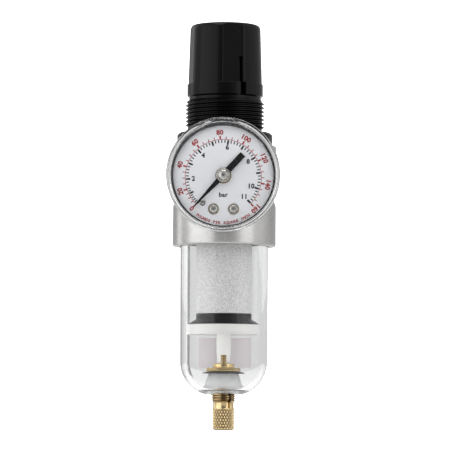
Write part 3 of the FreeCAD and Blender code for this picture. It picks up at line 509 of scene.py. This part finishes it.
def cut(obj, cutters, sharp=30.0):
    """Cuts the cutters out of obj, removes them and marks the sharp edges again."""
    for cutter in cutters:
        mod = obj.modifiers.new("cut", "BOOLEAN")
        mod.operation = "DIFFERENCE"
        mod.solver = "EXACT"
        mod.object = cutter
    depsgraph = bpy.context.evaluated_depsgraph_get()
    mesh = bpy.data.meshes.new_from_object(obj.evaluated_get(depsgraph), depsgraph=depsgraph)
    obj.modifiers.clear()
    bm = bmesh.new()
    bm.from_mesh(mesh)
    for face in bm.faces:
        face.material_index = 0
    shade(bm, sharp)
    bm.to_mesh(mesh)
    bm.free()
    while len(mesh.materials) > 1:
        mesh.materials.pop()
    obj.data = mesh
    for cutter in cutters:
        bpy.data.objects.remove(cutter)
    return obj


def join(name, objects):
    """Joins separate closed meshes into one object."""
    bm = bmesh.new()
    for obj in objects:
        bm.from_mesh(obj.data)
    mesh = bpy.data.meshes.new(name)
    bm.to_mesh(mesh)
    bm.free()
    mesh.materials.append(objects[0].data.materials[0])
    for obj in objects:
        bpy.data.objects.remove(obj)
    result = bpy.data.objects.new(name, mesh)
    bpy.context.scene.collection.objects.link(result)
    return result


def place(obj, *nodes):
    """obj stands for these CAD nodes and rides with the first one's body."""
    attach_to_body(obj, BODY_OF[nodes[0]])
    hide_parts(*nodes)
    return obj


def attach(obj, node):
    """obj is extra detail that rides with a CAD node's body."""
    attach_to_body(obj, BODY_OF[node])
    return obj


# ---------------------------------------------------------------- knob
KNOB_FOOT, KNOB_LOW, KNOB_HIGH, KNOB_ROUND = 33.5, 38.1, 61.0, 2.2
KNOB_R_LOW, KNOB_R_HIGH = 14.1, 13.4
FRONT = -90.0                   # angles round Z are in degrees here
FLAT_MIDDLE, FLAT_HALF = 13.2, 16.75
FLAT_STEP = 0.07                # how far the flats' edges lie under the taper
SLOT_AT, SKIRT_SLOT_AT = 26.6, 30.8
SLOT_TOP = 47.1


def knob_taper(z):
    """The radius of the knob's side at a height."""
    t = (z - KNOB_LOW) / (KNOB_HIGH - KNOB_ROUND - KNOB_LOW)
    return KNOB_R_LOW + (KNOB_R_HIGH - KNOB_R_LOW) * t


def make_knob():
    """A stepped shell with four shallow flats and two keyhole slots, and a hub with a hexagon."""
    edges = []
    for k in range(4):
        middle = FRONT + FLAT_MIDDLE + 90 * k
        edges += [middle - FLAT_HALF, middle + FLAT_HALF]
    # even steps, with four close ones at each edge of a flat
    angles = [2.25 * k for k in range(160)]
    angles = [a for a in angles if all(abs((a - e + 180) % 360 - 180) > 1.0 for e in edges)]
    for e in edges:
        angles += [(e + d) % 360 for d in (-0.45, -0.15, 0.15, 0.45)]
    angles = [math.radians(a) for a in sorted(angles)]

    def flats(r, z, a):
        if z < KNOB_LOW + 0.01 or r < 12.55:
            return r, z
        off = abs((math.degrees(a) - FRONT - FLAT_MIDDLE + 45) % 90 - 45)
        inside = min(max((FLAT_HALF + 0.3 - off) / 0.6, 0.0), 1.0)
        level = (knob_taper(z) - FLAT_STEP) * math.cos(math.radians(FLAT_HALF))
        level = level / math.cos(math.radians(off))
        return r + (min(r, level) - r) * inside, z

    outline = soft([
        (0, 57.4), (11.9, 57.4), (12.5, 56.2), (12.5, KNOB_FOOT), (14.45, KNOB_FOOT, 0.15),
        (14.45, KNOB_LOW, 0.28), (KNOB_R_LOW, KNOB_LOW, 0.10), (KNOB_R_LOW, KNOB_LOW + 0.06, 0),
        (KNOB_R_HIGH, KNOB_HIGH, KNOB_ROUND), (0, KNOB_HIGH)], 0.3, 8)
    knob = revolve("knob_shell", outline, "black", angles=angles, warp=flats, sharp=40)
    hub = rod("knob_hub", 6.2, 49.4, 57.5, "black", 64)
    cut(hub, [prism("knob_hex", hexagon(7.1), 48.0, 57.0, "black")])
    slots = []
    for half_turn in (0, 180):
        slot = slab("slot", 0.5, -16, -11.5, 32.0, SLOT_TOP, "black")
        turned(slot, spin(SLOT_AT + half_turn))
        hole = rod("hole", 0.85, 11.5, 16.0, "black")
        turned(hole, spin(SLOT_AT + half_turn) @ shift(0, 0, SLOT_TOP) @ TO_FRONT)
        wide = slab("wide", 0.8, -16, -11.5, 32.0, KNOB_LOW, "black")
        turned(wide, spin(SKIRT_SLOT_AT + half_turn))
        slots += [slot, hole, wide]
    cut(knob, slots, 40)
    place(join("knob", [knob, hub]), "adjusting_knob")


make_knob()


# ---------------------------------------------------------------- bonnet
FINE_PITCH = 1.5                # the panel neck's and the bowl's threads
NECK_R, NECK_ROOT_R, NECK_LOW, NECK_HIGH = 15.0, 14.08, 20.9, 32.0


def make_bonnet():
    """Chamfered flange, threaded panel neck and inner sleeve, with the nut's keyways and a vent."""
    outline = soft([
        (13.5, 9.4), (16.45, 9.4), (16.45, 14.5), (18.2, 14.5, 0.25), (18.2, 18.7, 0.35),
        (17.3, 19.6, 0.35), (NECK_ROOT_R, 19.6, 0.3),
        thread(NECK_R, NECK_ROOT_R, FINE_PITCH, NECK_LOW, NECK_HIGH), (13.7, NECK_HIGH, 0),
        (13.7, 33.2, 0.2), (12.0, 33.2), (12.0, 48.0, 0.8), (4.2, 48.0), (4.2, 45.6), (10.7, 45.6),
        (10.7, 17.6), (13.5, 16.0)], 0.2)
    at = next(i for i, p in enumerate(outline) if isinstance(p, dict))
    outline[at:at + 1] = [(NECK_ROOT_R, NECK_LOW), outline[at], (NECK_ROOT_R, NECK_HIGH)]
    bonnet = revolve("bonnet_shell", outline, "thread_black", segments=192, sharp=24)
    key = slab("key", 11.45, -1.65, 1.65, 29.25, 42.5, "thread_black")
    vent = rod("vent", 0.8, -20, -10, "thread_black")
    turned(vent, shift(0, 0, 17.6) @ TO_FRONT)
    place(cut(bonnet, [key, vent], 24), "bonnet")


make_bonnet()


# ---------------------------------------------------------------- body
PORT_R, PORT_ROOT_R, PORT_PITCH = 5.72, 6.58, 1.337
PORT_FLOOR, PORT_THREAD_LOW, PORT_THREAD_HIGH = 8.15, 8.8, 17.3
PASSAGE_R, PASSAGE_Z = 2.2, 2.6


def make_body():
    """The turned casting, its two threaded pipe ports, two gauge ports and the passages between."""
    outline = soft([
        (17.0, -23.8, 0.35), (19.6, -23.8, 0.9), (19.6, 14.5, 0.5), (16.5, 14.5, 0.25), (16.5, 8.2),
        (13.0, 8.2), (13.0, 7.1), (6.0, 7.1), (6.0, -1.0), (2.6, -1.0), (2.6, -3.1), (3.3, -3.1),
        (3.3, -2.5), (7.0, -2.5), (7.0, -13.8), (9.8, -13.8), (9.8, -12.6), (13.4, -12.6),
        (13.4, -13.8), (17.0, -13.8)], 0.15)
    body = revolve("body_blank", outline, "cast", segments=192, sharp=26)
    # the cutters of the ports run past the body's face
    port_outline = soft([
        (0, PORT_FLOOR), (PORT_R, PORT_FLOOR), (PORT_R, PORT_THREAD_LOW, 0),
        thread(PORT_ROOT_R, PORT_R, PORT_PITCH, PORT_THREAD_LOW, PORT_THREAD_HIGH),
        (PORT_R, PORT_THREAD_HIGH, 0), (6.4, 17.66, 0), (8.5, 17.65, 0), (8.5, 22, 0), (0, 22)], 0.0)
    gauge_outline = [(0, 10.6), (4.87, 10.6), (4.87, 18.1), (7.5, 18.1), (7.5, 22), (0, 22)]
    bores, ports = [], []
    for turn in (0, 180):
        port = revolve("port", port_outline, "cast", segments=96)
        ports.append(turned(port, spin(turn) @ TO_RIGHT))
        gauge = revolve("gauge_port", gauge_outline, "cast", segments=96)
        bores.append(turned(gauge, spin(turn) @ TO_FRONT))
        passage = rod("passage", 1.0, 5.0, 12.0, "cast")
        bores.append(turned(passage, spin(turn) @ shift(0, 0, PASSAGE_Z) @ TO_FRONT))
    bores.append(rod("drop", PASSAGE_R, -15.0, -3.5, "cast", 48, -11.6))
    outlet = rod("out", PASSAGE_R, 4.5, 9.0, "cast", 48)
    bores.append(turned(outlet, shift(0, 0, PASSAGE_Z) @ TO_RIGHT))
    # the threaded ports are cut last and together: an exact cut that follows a threaded one goes wrong
    place(cut(body, bores + [join("ports", ports)], 26), "body")


make_body()


# ---------------------------------------------------------------- springs
def make_spring(node, mean_r, wire_r, turns):
    """A wire helix over the node's height."""
    low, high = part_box(node)
    z0, z1 = low.z / MM + wire_r, high.z / MM - wire_r
    steps, sides = int(turns * 48), 16
    bm = bmesh.new()
    rings = []
    for k in range(steps + 1):
        a = TAU * turns * k / steps
        z = z0 + (z1 - z0) * k / steps
        ring = []
        for j in range(sides):
            b = TAU * j / sides
            r = mean_r + wire_r * math.cos(b)
            ring.append(bm.verts.new((r * math.cos(a) * MM, r * math.sin(a) * MM,
                                      (z + wire_r * math.sin(b)) * MM)))
        rings.append(ring)
    for near, far in zip(rings, rings[1:]):
        for j in range(sides):
            n = (j + 1) % sides
            bm.faces.new((near[j], near[n], far[n], far[j]))
    bm.faces.new(rings[0][::-1])
    bm.faces.new(rings[-1])
    spring = place(finish_mesh(node + "_wire", bm, "wire", 50), node)
    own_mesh(spring)


make_spring("regulating_spring", 8.6, 1.3, 5.5)
make_spring("valve_spring", 3.2, 0.35, 5)


# ---------------------------------------------------------------- diaphragm
def make_diaphragm():
    """Split at its fold: the clamped rim stays with the housing, the middle moves with the plate."""
    middle = soft([
        (2.05, 8.2), (5.0, 8.2), (5.2, 8.37), (10.4, 8.37), (11.0, 9.1, 0.3), (12.1, 9.1, 0.3),
        (12.6, 8.45), (12.9, 8.45), (12.9, 9.95), (12.8, 10.2, 0.3), (10.9, 10.2, 0.3),
        (10.35, 9.4), (2.05, 9.4)], 0.1)
    place(revolve("diaphragm_middle", middle, "rubber"), "diaphragm")
    clamped = soft([(12.98, 8.2), (16.2, 8.2), (16.2, 9.4), (12.98, 9.4)], 0.15)
    rim = revolve("diaphragm_rim", clamped, "rubber")
    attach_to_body(rim, BODY_OF["body"])


make_diaphragm()


# ---------------------------------------------------------------- filter, retainer, baffle
FILTER_R, FILTER_IN_R, FILTER_LOW, FILTER_HIGH = 10.62, 7.3, -49.4, -17.4


def make_filter():
    """The sintered sleeve."""
    side = [(FILTER_R, FILTER_LOW + 0.2 + 0.5 * k) for k in range(64)]
    rows = [(FILTER_R, FILTER_LOW)] + side + [
        (FILTER_R, FILTER_HIGH), (FILTER_IN_R, FILTER_HIGH), (FILTER_IN_R, FILTER_LOW)]
    place(revolve("filter_sleeve", rows, "media", segments=200, sharp=50), "filter_element")


def make_retainer():
    """The black cup under the sleeve, with a spigot into it."""
    outline = soft([
        (2.5, -53.5), (13.2, -53.5, 0.12), (13.2, -53.15, 0.12), (10.55, -51.5, 0.4),
        (10.55, FILTER_LOW, 0.3), (7.3, FILTER_LOW), (7.2, -47.8), (6.1, -47.8), (6.1, -52.1),
        (2.5, -52.1)], 0.1)
    place(revolve("retainer_cup", outline, "thread_black"), "filter_retainer")


def make_baffle():
    """The white disc with its post above and its slotted stem below."""
    outline = soft([
        (0, -67.9), (2.75, -67.9, 0.2), (2.75, -56.1, 0.5), (12.85, -56.1, 0.3), (13.05, -57.3, 0.15),
        (14.3, -57.3, 0.12), (14.3, -56.9, 0.12), (13.95, -56.9, 0.1), (13.95, -53.5, 0.3), (2.4, -53.5),
        (2.4, -16.2), (0, -16.2)], 0.2)
    baffle = revolve("baffle_disc", outline, "white")
    cutters = [rod("bore", 1.5, -69.0, -61.0, "white", 48)]
    for turn in (0, 90):
        cutters.append(turned(slab("slot", 1.1, -4, 4, -69.0, -64.9, "white"), spin(turn)))
    place(cut(baffle, cutters), "baffle")


make_filter()
make_retainer()
make_baffle()


# ---------------------------------------------------------------- bowl
BOWL_LOW_R, BOWL_IN_LOW_R, BOWL_BOTTOM = 16.6, 14.6, -79.8
DOME_Z, DOME_R = -67.4, 12.9
BOSS_R, BOSS_ROOT_R, BOSS_PITCH, BOSS_THREAD_TOP = 4.91, 5.25, 0.907, -71.9


def dome(r, z_end, steps):
    """The rounded foot of the bowl, from its side down to z_end."""
    centre = BOWL_LOW_R - DOME_R
    end = math.asin((DOME_Z - z_end) / r)
    return [(centre + r * math.cos(end * k / steps), DOME_Z - r * math.sin(end * k / steps))
            for k in range(steps + 1)]


def make_bowl():
    """The clear bowl with its thread at the top and the threaded boss in its floor."""
    inner = dome(DOME_R - BOWL_LOW_R + BOWL_IN_LOW_R, BOSS_FOOT_Z, 28)[::-1]
    outer = dome(DOME_R, BOWL_BOTTOM, 32)
    outline = soft([
        (14.72, -15.2, 0.3), (16.14, -15.2, 0), thread(16.94, 16.14, FINE_PITCH, -15.3, -23.4),
        (16.14, -23.4, 0), (16.75, -23.8, 0)] + [p + (0,) for p in outer] + [
        (BOSS_R, BOWL_BOTTOM, 0), (BOSS_R, BOWL_BOTTOM + 0.2, 0),
        thread(BOSS_ROOT_R, BOSS_R, BOSS_PITCH, BOWL_BOTTOM + 0.2, BOSS_THREAD_TOP, taper=0.8),
        (BOSS_R, BOSS_THREAD_TOP, 0), (BOSS_R, -71.7, 0), (5.6, -71.7, 0.25),
        (BOSS_FOOT_R, BOSS_FOOT_Z, 0.5)] + [p + (0,) for p in inner], 0.2)
    place(revolve("bowl_clear", outline, "bowl", segments=192, sharp=34), "bowl")


make_bowl()


# ---------------------------------------------------------------- drain
KNURL_COUNT, KNURL_PITCH, KNURL_DEPTH, KNURL_ROWS = 22, 1.06, 0.38, 72
DRAIN_R, DRAIN_ROOT_R, DRAIN_SLOT_AT = 4.86, 4.12, 33


def make_drain_screw():
    """The knurled grip, the threaded shank with its drain slot, and the pin on top, in one piece."""
    def knurl(r, z, a):
        """Two crossing sets of grooves leave raised diamonds, which fade at both ends."""
        if not KNURL_LOW - 0.01 <= z <= KNURL_TOP + 0.01 or r < 3.9:
            return r, z
        u = a / TAU * KNURL_COUNT + (z - KNURL_LOW) / KNURL_PITCH / 2
        v = a / TAU * KNURL_COUNT - (z - KNURL_LOW) / KNURL_PITCH / 2
        ridge = min(abs(u % 1 - 0.5), abs(v % 1 - 0.5)) * 2
        fade = min(1.0, (z - KNURL_LOW) / 0.25, (KNURL_TOP - z) / 0.25)
        return r - KNURL_DEPTH * (1 - min(1.0, ridge * 1.25)) * max(fade, 0.0), z

    rise = KNURL_TOP - KNURL_LOW
    knurl_rows = [(4.15, KNURL_LOW + rise * k / KNURL_ROWS, 0) for k in range(KNURL_ROWS + 1)]
    outline = soft([(0, -93.4), (3.5, -93.4, 0.15)] + knurl_rows + [
        (4.1, -85.2, 0), (3.95, -85.0, 0), (3.95, -82.9, 0.15), (DRAIN_ROOT_R, DRAIN_THREAD_LOW, 0),
        thread(DRAIN_R, DRAIN_ROOT_R, BOSS_PITCH, DRAIN_THREAD_LOW, DRAIN_THREAD_TOP, taper=0.6),
        (DRAIN_ROOT_R, DRAIN_THREAD_TOP, 0), (3.44, -71.8, 0.1), (3.44, -69.8), (3.1, -69.8),
        (3.1, -69.5), (1.2, -69.5), (1.2, -64.4, 0.3), (0, -64.4)], 0.1)
    screw = revolve("drain_blank", outline, "drain_brass", segments=384, warp=knurl, sharp=32)
    slot = turned(slab("slot", 0.45, -6, -2.6, -85.2, -72.5, "drain_brass"), spin(DRAIN_SLOT_AT))
    place(cut(screw, [slot], 32), "drain_screw")


def make_drain_top():
    """The ring, hexagon and gasket that sit on the boss."""
    ring = soft([(3.46, -69.8), (4.1, -69.8, 0.15), (4.1, -68.2, 0.3), (3.15, -68.2, 0.15)], 0.1)
    place(revolve("drain_top_ring", ring, "brass", segments=96), "drain_ring")
    low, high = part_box("drain_hex")
    nut = prism("drain_hex_nut", hexagon(11.2, 8), low.z / MM, high.z / MM, "brass", bevel=0.12)
    place(cut(nut, [rod("bore", 3.47, -73, -68, "brass", 64)]), "drain_hex")
    gasket = soft([(3.46, -71.6), (5.7, -71.6), (8.0, -72.0, 0.1), (8.0, -71.7, 0.1),
                   (5.9, -71.2, 0.3), (3.46, -71.2)], 0.1)
    place(revolve("drain_washer", gasket, "rubber", segments=128), "drain_gasket")


make_drain_screw()
make_drain_top()


# ---------------------------------------------------------------- gauge
def front(obj):
    """Lays a piece made on +Z along -Y, its own +Y upwards."""
    return turned(obj, TO_FRONT)


def make_gauge_case():
    """The black cup round the movement."""
    outline = soft([
        (4.02, 27.8), (19.5, 27.8, 1.2), (19.5, 45.4, 0.15), (18.9, 45.4, 0.25), (18.9, 28.8, 0.3),
        (4.02, 28.8)], 0.1)
    place(front(revolve("case_cup", outline, "case", segments=192)), "gauge_case")


def make_gauge_lens():
    """The clear cap: a thick rim over the case and a window set a little back."""
    outline = soft([
        (19.55, 43.5, 0.1), (21.0, 43.5, 0.15), (21.0, 52.0, 1.2), (20.2, 52.0, 0.25), (19.6, 51.2, 0.15),
        (0, 51.2), (0, 49.5), (19.55, 49.5, 0.2)], 0.1, 5)
    place(front(revolve("lens_cap", outline, "lens", segments=224)), "gauge_lens")


DIAL_FRONT = -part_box("gauge_dial")[0].y / MM
DIAL_DROP = 0.7                 # the scales' centre lies this far under the pointer's axis
DIAL_R, DIAL_T = 18.82, 0.4
SCALE_R = 14.1                  # the line between the two scales
ZERO_AT, FIRST_AT, END_AT = 225.0, 198.6, -43.6
PSI_FIRST, PSI_MAX, PSI_PER_BAR = 20.0, 160.0, 14.504
PRINT_LOW, PRINT_HIGH, TEXT_MIDDLE = DIAL_FRONT + 0.003, DIAL_FRONT + 0.02, DIAL_FRONT + 0.016
SCREW_XS, SCREW_Y = (-3.6, 3.9), -12.6
STOP_X, STOP_Y = -7.75, -10.3
BAR_NUMBERS = ((2, 11.2), (4, 11.1), (6, 11.3), (8, 11.0), (10, 10.9), (11, 10.7))
WORDS, WORDS_R, WORDS_HALF = "POUNDS PER SQUARE INCH", 17.1, math.radians(34)
TEXT_THICK, TEXT_WEIGHT = 0.012, 0.046
POINTER_AT = 227.0


def dial_angle(psi):
    """The scale is even from 20 psi up; the first step is shorter, as is usual by a stop pin."""
    if psi < PSI_FIRST:
        return math.radians(ZERO_AT + (FIRST_AT - ZERO_AT) * psi / PSI_FIRST)
    share = (psi - PSI_FIRST) / (PSI_MAX - PSI_FIRST)
    return math.radians(FIRST_AT + (END_AT - FIRST_AT) * share)


def add_stroke(bm, r0, r1, angle, width):
    """One printed stroke along a radius."""
    c, s = math.cos(angle), math.sin(angle)
    corners = [(r0, -width / 2), (r1, -width / 2), (r1, width / 2), (r0, width / 2)]
    flat = [(r * c - w * s, r * s + w * c - DIAL_DROP) for r, w in corners]
    low = [bm.verts.new((x * MM, y * MM, PRINT_LOW * MM)) for x, y in flat]
    high = [bm.verts.new((x * MM, y * MM, PRINT_HIGH * MM)) for x, y in flat]
    bm.faces.new(low[::-1])
    bm.faces.new(high)
    for k in range(4):
        n = (k + 1) % 4
        bm.faces.new((low[k], low[n], high[n], high[k]))


def add_arc(bm, r0, r1, start, end):
    """A printed line round the dial."""
    steps = 120
    grid = []
    for k in range(steps + 1):
        a = start + (end - start) * k / steps
        c, s = math.cos(a), math.sin(a)
        grid.append([bm.verts.new((r * c * MM, (r * s - DIAL_DROP) * MM, z * MM))
                     for r, z in ((r0, PRINT_LOW), (r1, PRINT_LOW), (r1, PRINT_HIGH), (r0, PRINT_HIGH))])
    for a, b in zip(grid, grid[1:]):
        for k in range(4):
            n = (k + 1) % 4
            bm.faces.new((a[k], a[n], b[n], b[k]))
    bm.faces.new(grid[0][::-1])
    bm.faces.new(grid[-1])


def letter_mesh(text, size, spacing):
    """The thin mesh of a short printed text, centred on the origin."""
    curve = bpy.data.curves.new("letters", "FONT")
    curve.body = text
    curve.size = size * MM
    curve.align_x = "CENTER"
    curve.align_y = "CENTER"
    curve.space_character = spacing
    curve.extrude = TEXT_THICK * MM
    curve.offset = TEXT_WEIGHT * size * MM
    curve.resolution_u = 3
    obj = bpy.data.objects.new("letters", curve)
    bpy.context.scene.collection.objects.link(obj)
    depsgraph = bpy.context.evaluated_depsgraph_get()
    mesh = bpy.data.meshes.new_from_object(obj.evaluated_get(depsgraph), depsgraph=depsgraph)
    bpy.data.objects.remove(obj)
    return mesh


def add_text(bm, text, size, r, angle, turn, spacing=1.0):
    """A text at a radius and angle on the dial, turned about its own middle."""
    mesh = letter_mesh(text, size, spacing)
    at = shift(r * math.cos(angle), r * math.sin(angle) - DIAL_DROP, TEXT_MIDDLE)
    mesh.transform(at @ Matrix.Rotation(turn, 4, "Z"))
    bm.from_mesh(mesh)


def make_dial():
    """The plate with its holes, and its printing: psi outside in red, bar inside in black."""
    low = DIAL_FRONT - DIAL_T
    plate = soft([(1.6, low), (DIAL_R, low), (DIAL_R, DIAL_FRONT, 0.1), (1.6, DIAL_FRONT, 0.1)], 0.05)
    dial = revolve("dial_plate", plate, "dial")
    holes = [(0, 0, 3.0)] + [(x, SCREW_Y, 2.1) for x in SCREW_XS] + [(STOP_X, STOP_Y, 1.1)]
    cut(dial, [rod("hole", r, low - 1, DIAL_FRONT + 1, "dial", 48, x, y) for x, y, r in holes])
    place(front(dial), "gauge_dial")

    red, black = bmesh.new(), bmesh.new()
    add_arc(red, SCALE_R + 0.08, SCALE_R + 0.28, dial_angle(0), dial_angle(PSI_MAX))
    for k in range(33):         # every 5 psi, longer at every 20
        reach, width = (1.59, 0.60) if k % 4 == 0 else (1.24, 0.32)
        add_stroke(red, SCALE_R + 0.2, SCALE_R + reach, dial_angle(5 * k), width)
    for k in range(56):         # every 0.2 bar, longer at every 1
        reach, width = (1.75, 0.70) if k % 5 == 0 else (1.1, 0.42)
        add_stroke(black, SCALE_R - reach, SCALE_R - 0.05, dial_angle(0.2 * k * PSI_PER_BAR), width)
    add_stroke(black, SCALE_R - 1.6, SCALE_R - 0.08, dial_angle(PSI_MAX), 0.50)
    for k in range(9):
        a = dial_angle(20 * k)
        add_text(red, str(20 * k), 2.5, SCALE_R + (2.75 if k else 2.4), a, a - math.pi / 2, 1.05)
    for value, r in BAR_NUMBERS:
        add_text(black, str(value), 2.45, r, dial_angle(value * PSI_PER_BAR), 0, 1.08)
    add_text(black, "bar", 2.3, 6.6, -math.pi / 2, 0, 1.1)
    for k, letter in enumerate(WORDS):
        if letter != " ":
            a = math.radians(270) + WORDS_HALF * (2 * k / (len(WORDS) - 1) - 1)
            add_text(red, letter, 1.4, WORDS_R, a, a + math.pi / 2)
    for name, bm, ink in (("dial_print_red", red, "ink_red"), ("dial_print_black", black, "ink_black")):
        attach(front(finish_mesh(name, bm, ink, weld=1e-9)), "gauge_dial")


def make_pointer():
    """The blade with its wide tail, and the domed hub with its centre hole."""
    low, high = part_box("gauge_pointer")
    z0, z1 = -high.y / MM, -low.y / MM
    blade = [(16.1, -0.18), (16.1, 0.18), (2.0, 0.98), (-3.6, 1.2), (-10.7, 1.2), (-10.7, -1.2),
             (-3.6, -1.2), (2.0, -0.98)]
    pointer = turned(prism("pointer_blade", blade, z0, z1, "pointer", bevel=0.07), spin(POINTER_AT))
    place(front(pointer), "gauge_pointer")
    dome_outline = soft([
        (0.62, z0 - 0.9), (0.8, z0 - 0.9), (0.8, z1), (2.6, z1, 0.1), (2.6, z1 + 0.45, 0.12),
        (2.25, z1 + 0.5, 0.1), (1.75, z1 + 1.25, 0.6), (0.45, z1 + 1.6, 0.15), (0.4, z1 + 0.9, 0),
        (0, z1 + 0.9), (0, z1 + 0.2), (0.62, z1 + 0.2)], 0.05)
    place(front(revolve("hub_dome", dome_outline, "steel", segments=96)), "pointer_hub")


def make_small_parts():
    """The dial's two screws and the stop pin."""
    z0 = DIAL_FRONT
    head_outline = soft([
        (0, z0 - 2.4), (0.7, z0 - 2.4), (0.7, z0), (1.75, z0, 0.1), (1.75, z0 + 0.35, 0.2),
        (1.3, z0 + 0.95, 0.4), (0.5, z0 + 1.1, 0.1), (0.42, z0 + 0.5, 0), (0, z0 + 0.5)], 0.05)
    screws = []
    for x in SCREW_XS:
        head = revolve("head", head_outline, "steel", segments=72)
        screws.append(turned(head, shift(x, SCREW_Y, 0)))
    place(front(join("dial_screw_heads", screws)), "dial_screws")
    peg_outline = soft([(0, z0), (0.8, z0), (0.8, z0 + 2.6, 0.3), (0, z0 + 2.6)], 0.1)
    peg = turned(revolve("stop_peg", peg_outline, "steel", segments=48), shift(STOP_X, STOP_Y, 0))
    place(front(peg), "stop_pin")


make_gauge_case()
make_gauge_lens()
make_dial()
make_pointer()
make_small_parts()


# ---------------------------------------------------------------- stage, light and camera
# from here on, lengths are metres
FLOOR_REACH, FLOOR_GAP = 6.0, 0.16
CARD_FROM, CARD_TO, CARD_LOW, CARD_HIGH = (-0.300, 0.732), (-0.210, 0.765), -0.2, 0.7


def stage_sheet(name, corners, material, detail, dark, light):
    """A flat matt sheet that isn't part of the object."""
    bm = bmesh.new()
    bm.faces.new([bm.verts.new(corner) for corner in corners])
    mesh = bpy.data.meshes.new(name)
    bm.to_mesh(mesh)
    bm.free()
    m = Nodes(material)
    m.to(m.ramp(m.noise(3, detail), [(0.3, grey(dark)), (0.7, grey(light))]), "Base Color")
    m.set(Roughness=0.9)
    mesh.materials.append(m.material)
    sheet = bpy.data.objects.new(name, mesh)
    bpy.context.scene.collection.objects.link(sheet)
    return sheet


def make_floor():
    """The pale floor under the object."""
    low = cad_box[0][2] - FLOOR_GAP
    corners = [(x * FLOOR_REACH, y * FLOOR_REACH, low) for x, y in ((-1, -1), (1, -1), (1, 1), (-1, 1))]
    stage_sheet("floor", corners, "floor_paper", 3, 0.72, 0.75)


def make_dark_card():
    """A tall card behind the object on the left. It shows only in the clear parts, as dark edges."""
    ends = ((CARD_FROM, CARD_LOW), (CARD_TO, CARD_LOW), (CARD_TO, CARD_HIGH), (CARD_FROM, CARD_HIGH))
    corners = [(x, y, z) for (x, y), z in ends]
    card = stage_sheet("dark_card", corners, "card_black", 2, 0.012, 0.018)
    card.visible_camera = False


# how bright the surround is from straight in front (0) to straight behind (1), along Y
WORLD_STOPS = ((0.012, 0.11), (0.05, 0.33), (0.22, 0.66), (0.50, 0.60), (0.66, 0.43), (0.82, 0.28),
               (0.95, 0.28))
WORLD_STRENGTH = 2.3


def make_world():
    """Soft studio surround: brightest beside the object, dimmer in front and behind, white backdrop."""
    world = bpy.data.worlds.new("studio")
    bpy.context.scene.world = world
    world.use_nodes = True
    tree = world.node_tree
    back = tree.nodes["Background"]
    coords = tree.nodes.new("ShaderNodeTexCoord")
    split = tree.nodes.new("ShaderNodeSeparateXYZ")
    tree.links.new(coords.outputs["Generated"], split.inputs["Vector"])
    ramp = tree.nodes.new("ShaderNodeValToRGB")
    half = tree.nodes.new("ShaderNodeMapRange")
    half.inputs["From Min"].default_value = -1.0
    half.inputs["From Max"].default_value = 1.0
    tree.links.new(split.outputs["Y"], half.inputs["Value"])
    tree.links.new(half.outputs["Result"], ramp.inputs["Fac"])
    for element, (position, value) in zip(ramp.color_ramp.elements, (WORLD_STOPS[0], WORLD_STOPS[-1])):
        element.position, element.color = position, grey(value)
    for position, value in WORLD_STOPS[1:-1]:
        ramp.color_ramp.elements.new(position).color = grey(value)
    path = tree.nodes.new("ShaderNodeLightPath")
    mix = tree.nodes.new("ShaderNodeMix")
    mix.data_type = "RGBA"
    tree.links.new(path.outputs["Is Camera Ray"], mix.inputs["Factor"])
    tree.links.new(ramp.outputs["Color"], mix.inputs["A"])
    mix.inputs["B"].default_value = grey(1.0)
    tree.links.new(mix.outputs["Result"], back.inputs["Color"])
    back.inputs["Strength"].default_value = WORLD_STRENGTH


LIGHTS_AIM = (0, 0, -0.015)


def add_softbox(name, place_at, size, watts):
    """A soft rectangular light that faces the object."""
    light = bpy.data.lights.new(name, "AREA")
    light.shape = "RECTANGLE"
    light.size, light.size_y = size
    light.energy = watts
    obj = bpy.data.objects.new(name, light)
    aim = Vector(LIGHTS_AIM) - Vector(place_at)
    obj.rotation_euler = aim.to_track_quat("-Z", "Y").to_euler()
    obj.location = place_at
    bpy.context.scene.collection.objects.link(obj)


CAMERA_AT, CAMERA_AIM = (0.016, -1.40, -0.1067), (0.00023, 0, -0.0154)
CAMERA_LENS, CAMERA_SENSOR, CAMERA_ROLL = 295.0, 36.0, 0.33


def make_camera():
    """A long lens low in front of the object, looking slightly up and rolled by a third of a degree."""
    data = bpy.data.cameras.new("camera")
    data.lens = CAMERA_LENS
    data.sensor_width = CAMERA_SENSOR
    data.clip_end = 50.0
    obj = bpy.data.objects.new("camera", data)
    bpy.context.scene.collection.objects.link(obj)
    at = Vector(CAMERA_AT)
    ahead = (Vector(CAMERA_AIM) - at).normalized()
    right = ahead.cross(Vector((0, 0, 1))).normalized()
    up = right.cross(ahead)
    roll = math.radians(CAMERA_ROLL)
    x = right * math.cos(roll) + up * math.sin(roll)
    y = up * math.cos(roll) - right * math.sin(roll)
    turn = Matrix((x, y, -ahead)).transposed().to_4x4()
    obj.matrix_world = Matrix.Translation(at) @ turn
    bpy.context.scene.camera = obj


make_floor()
make_dark_card()
make_world()
add_softbox("softbox_left", (-0.748, -0.544, 0.05), (1.08, 1.0), 3.6)
add_softbox("softbox_right", (0.70, -0.58, 0.05), (0.50, 1.0), 1.4)
add_softbox("softbox_top", (0.0, -0.35, 0.9), (0.8, 0.6), 7.0)
add_softbox("softbox_edge", (-0.787, 0.436, 0.05), (0.28, 1.0), 0.9)
make_camera()
bpy.context.scene.view_settings.view_transform = "Standard"
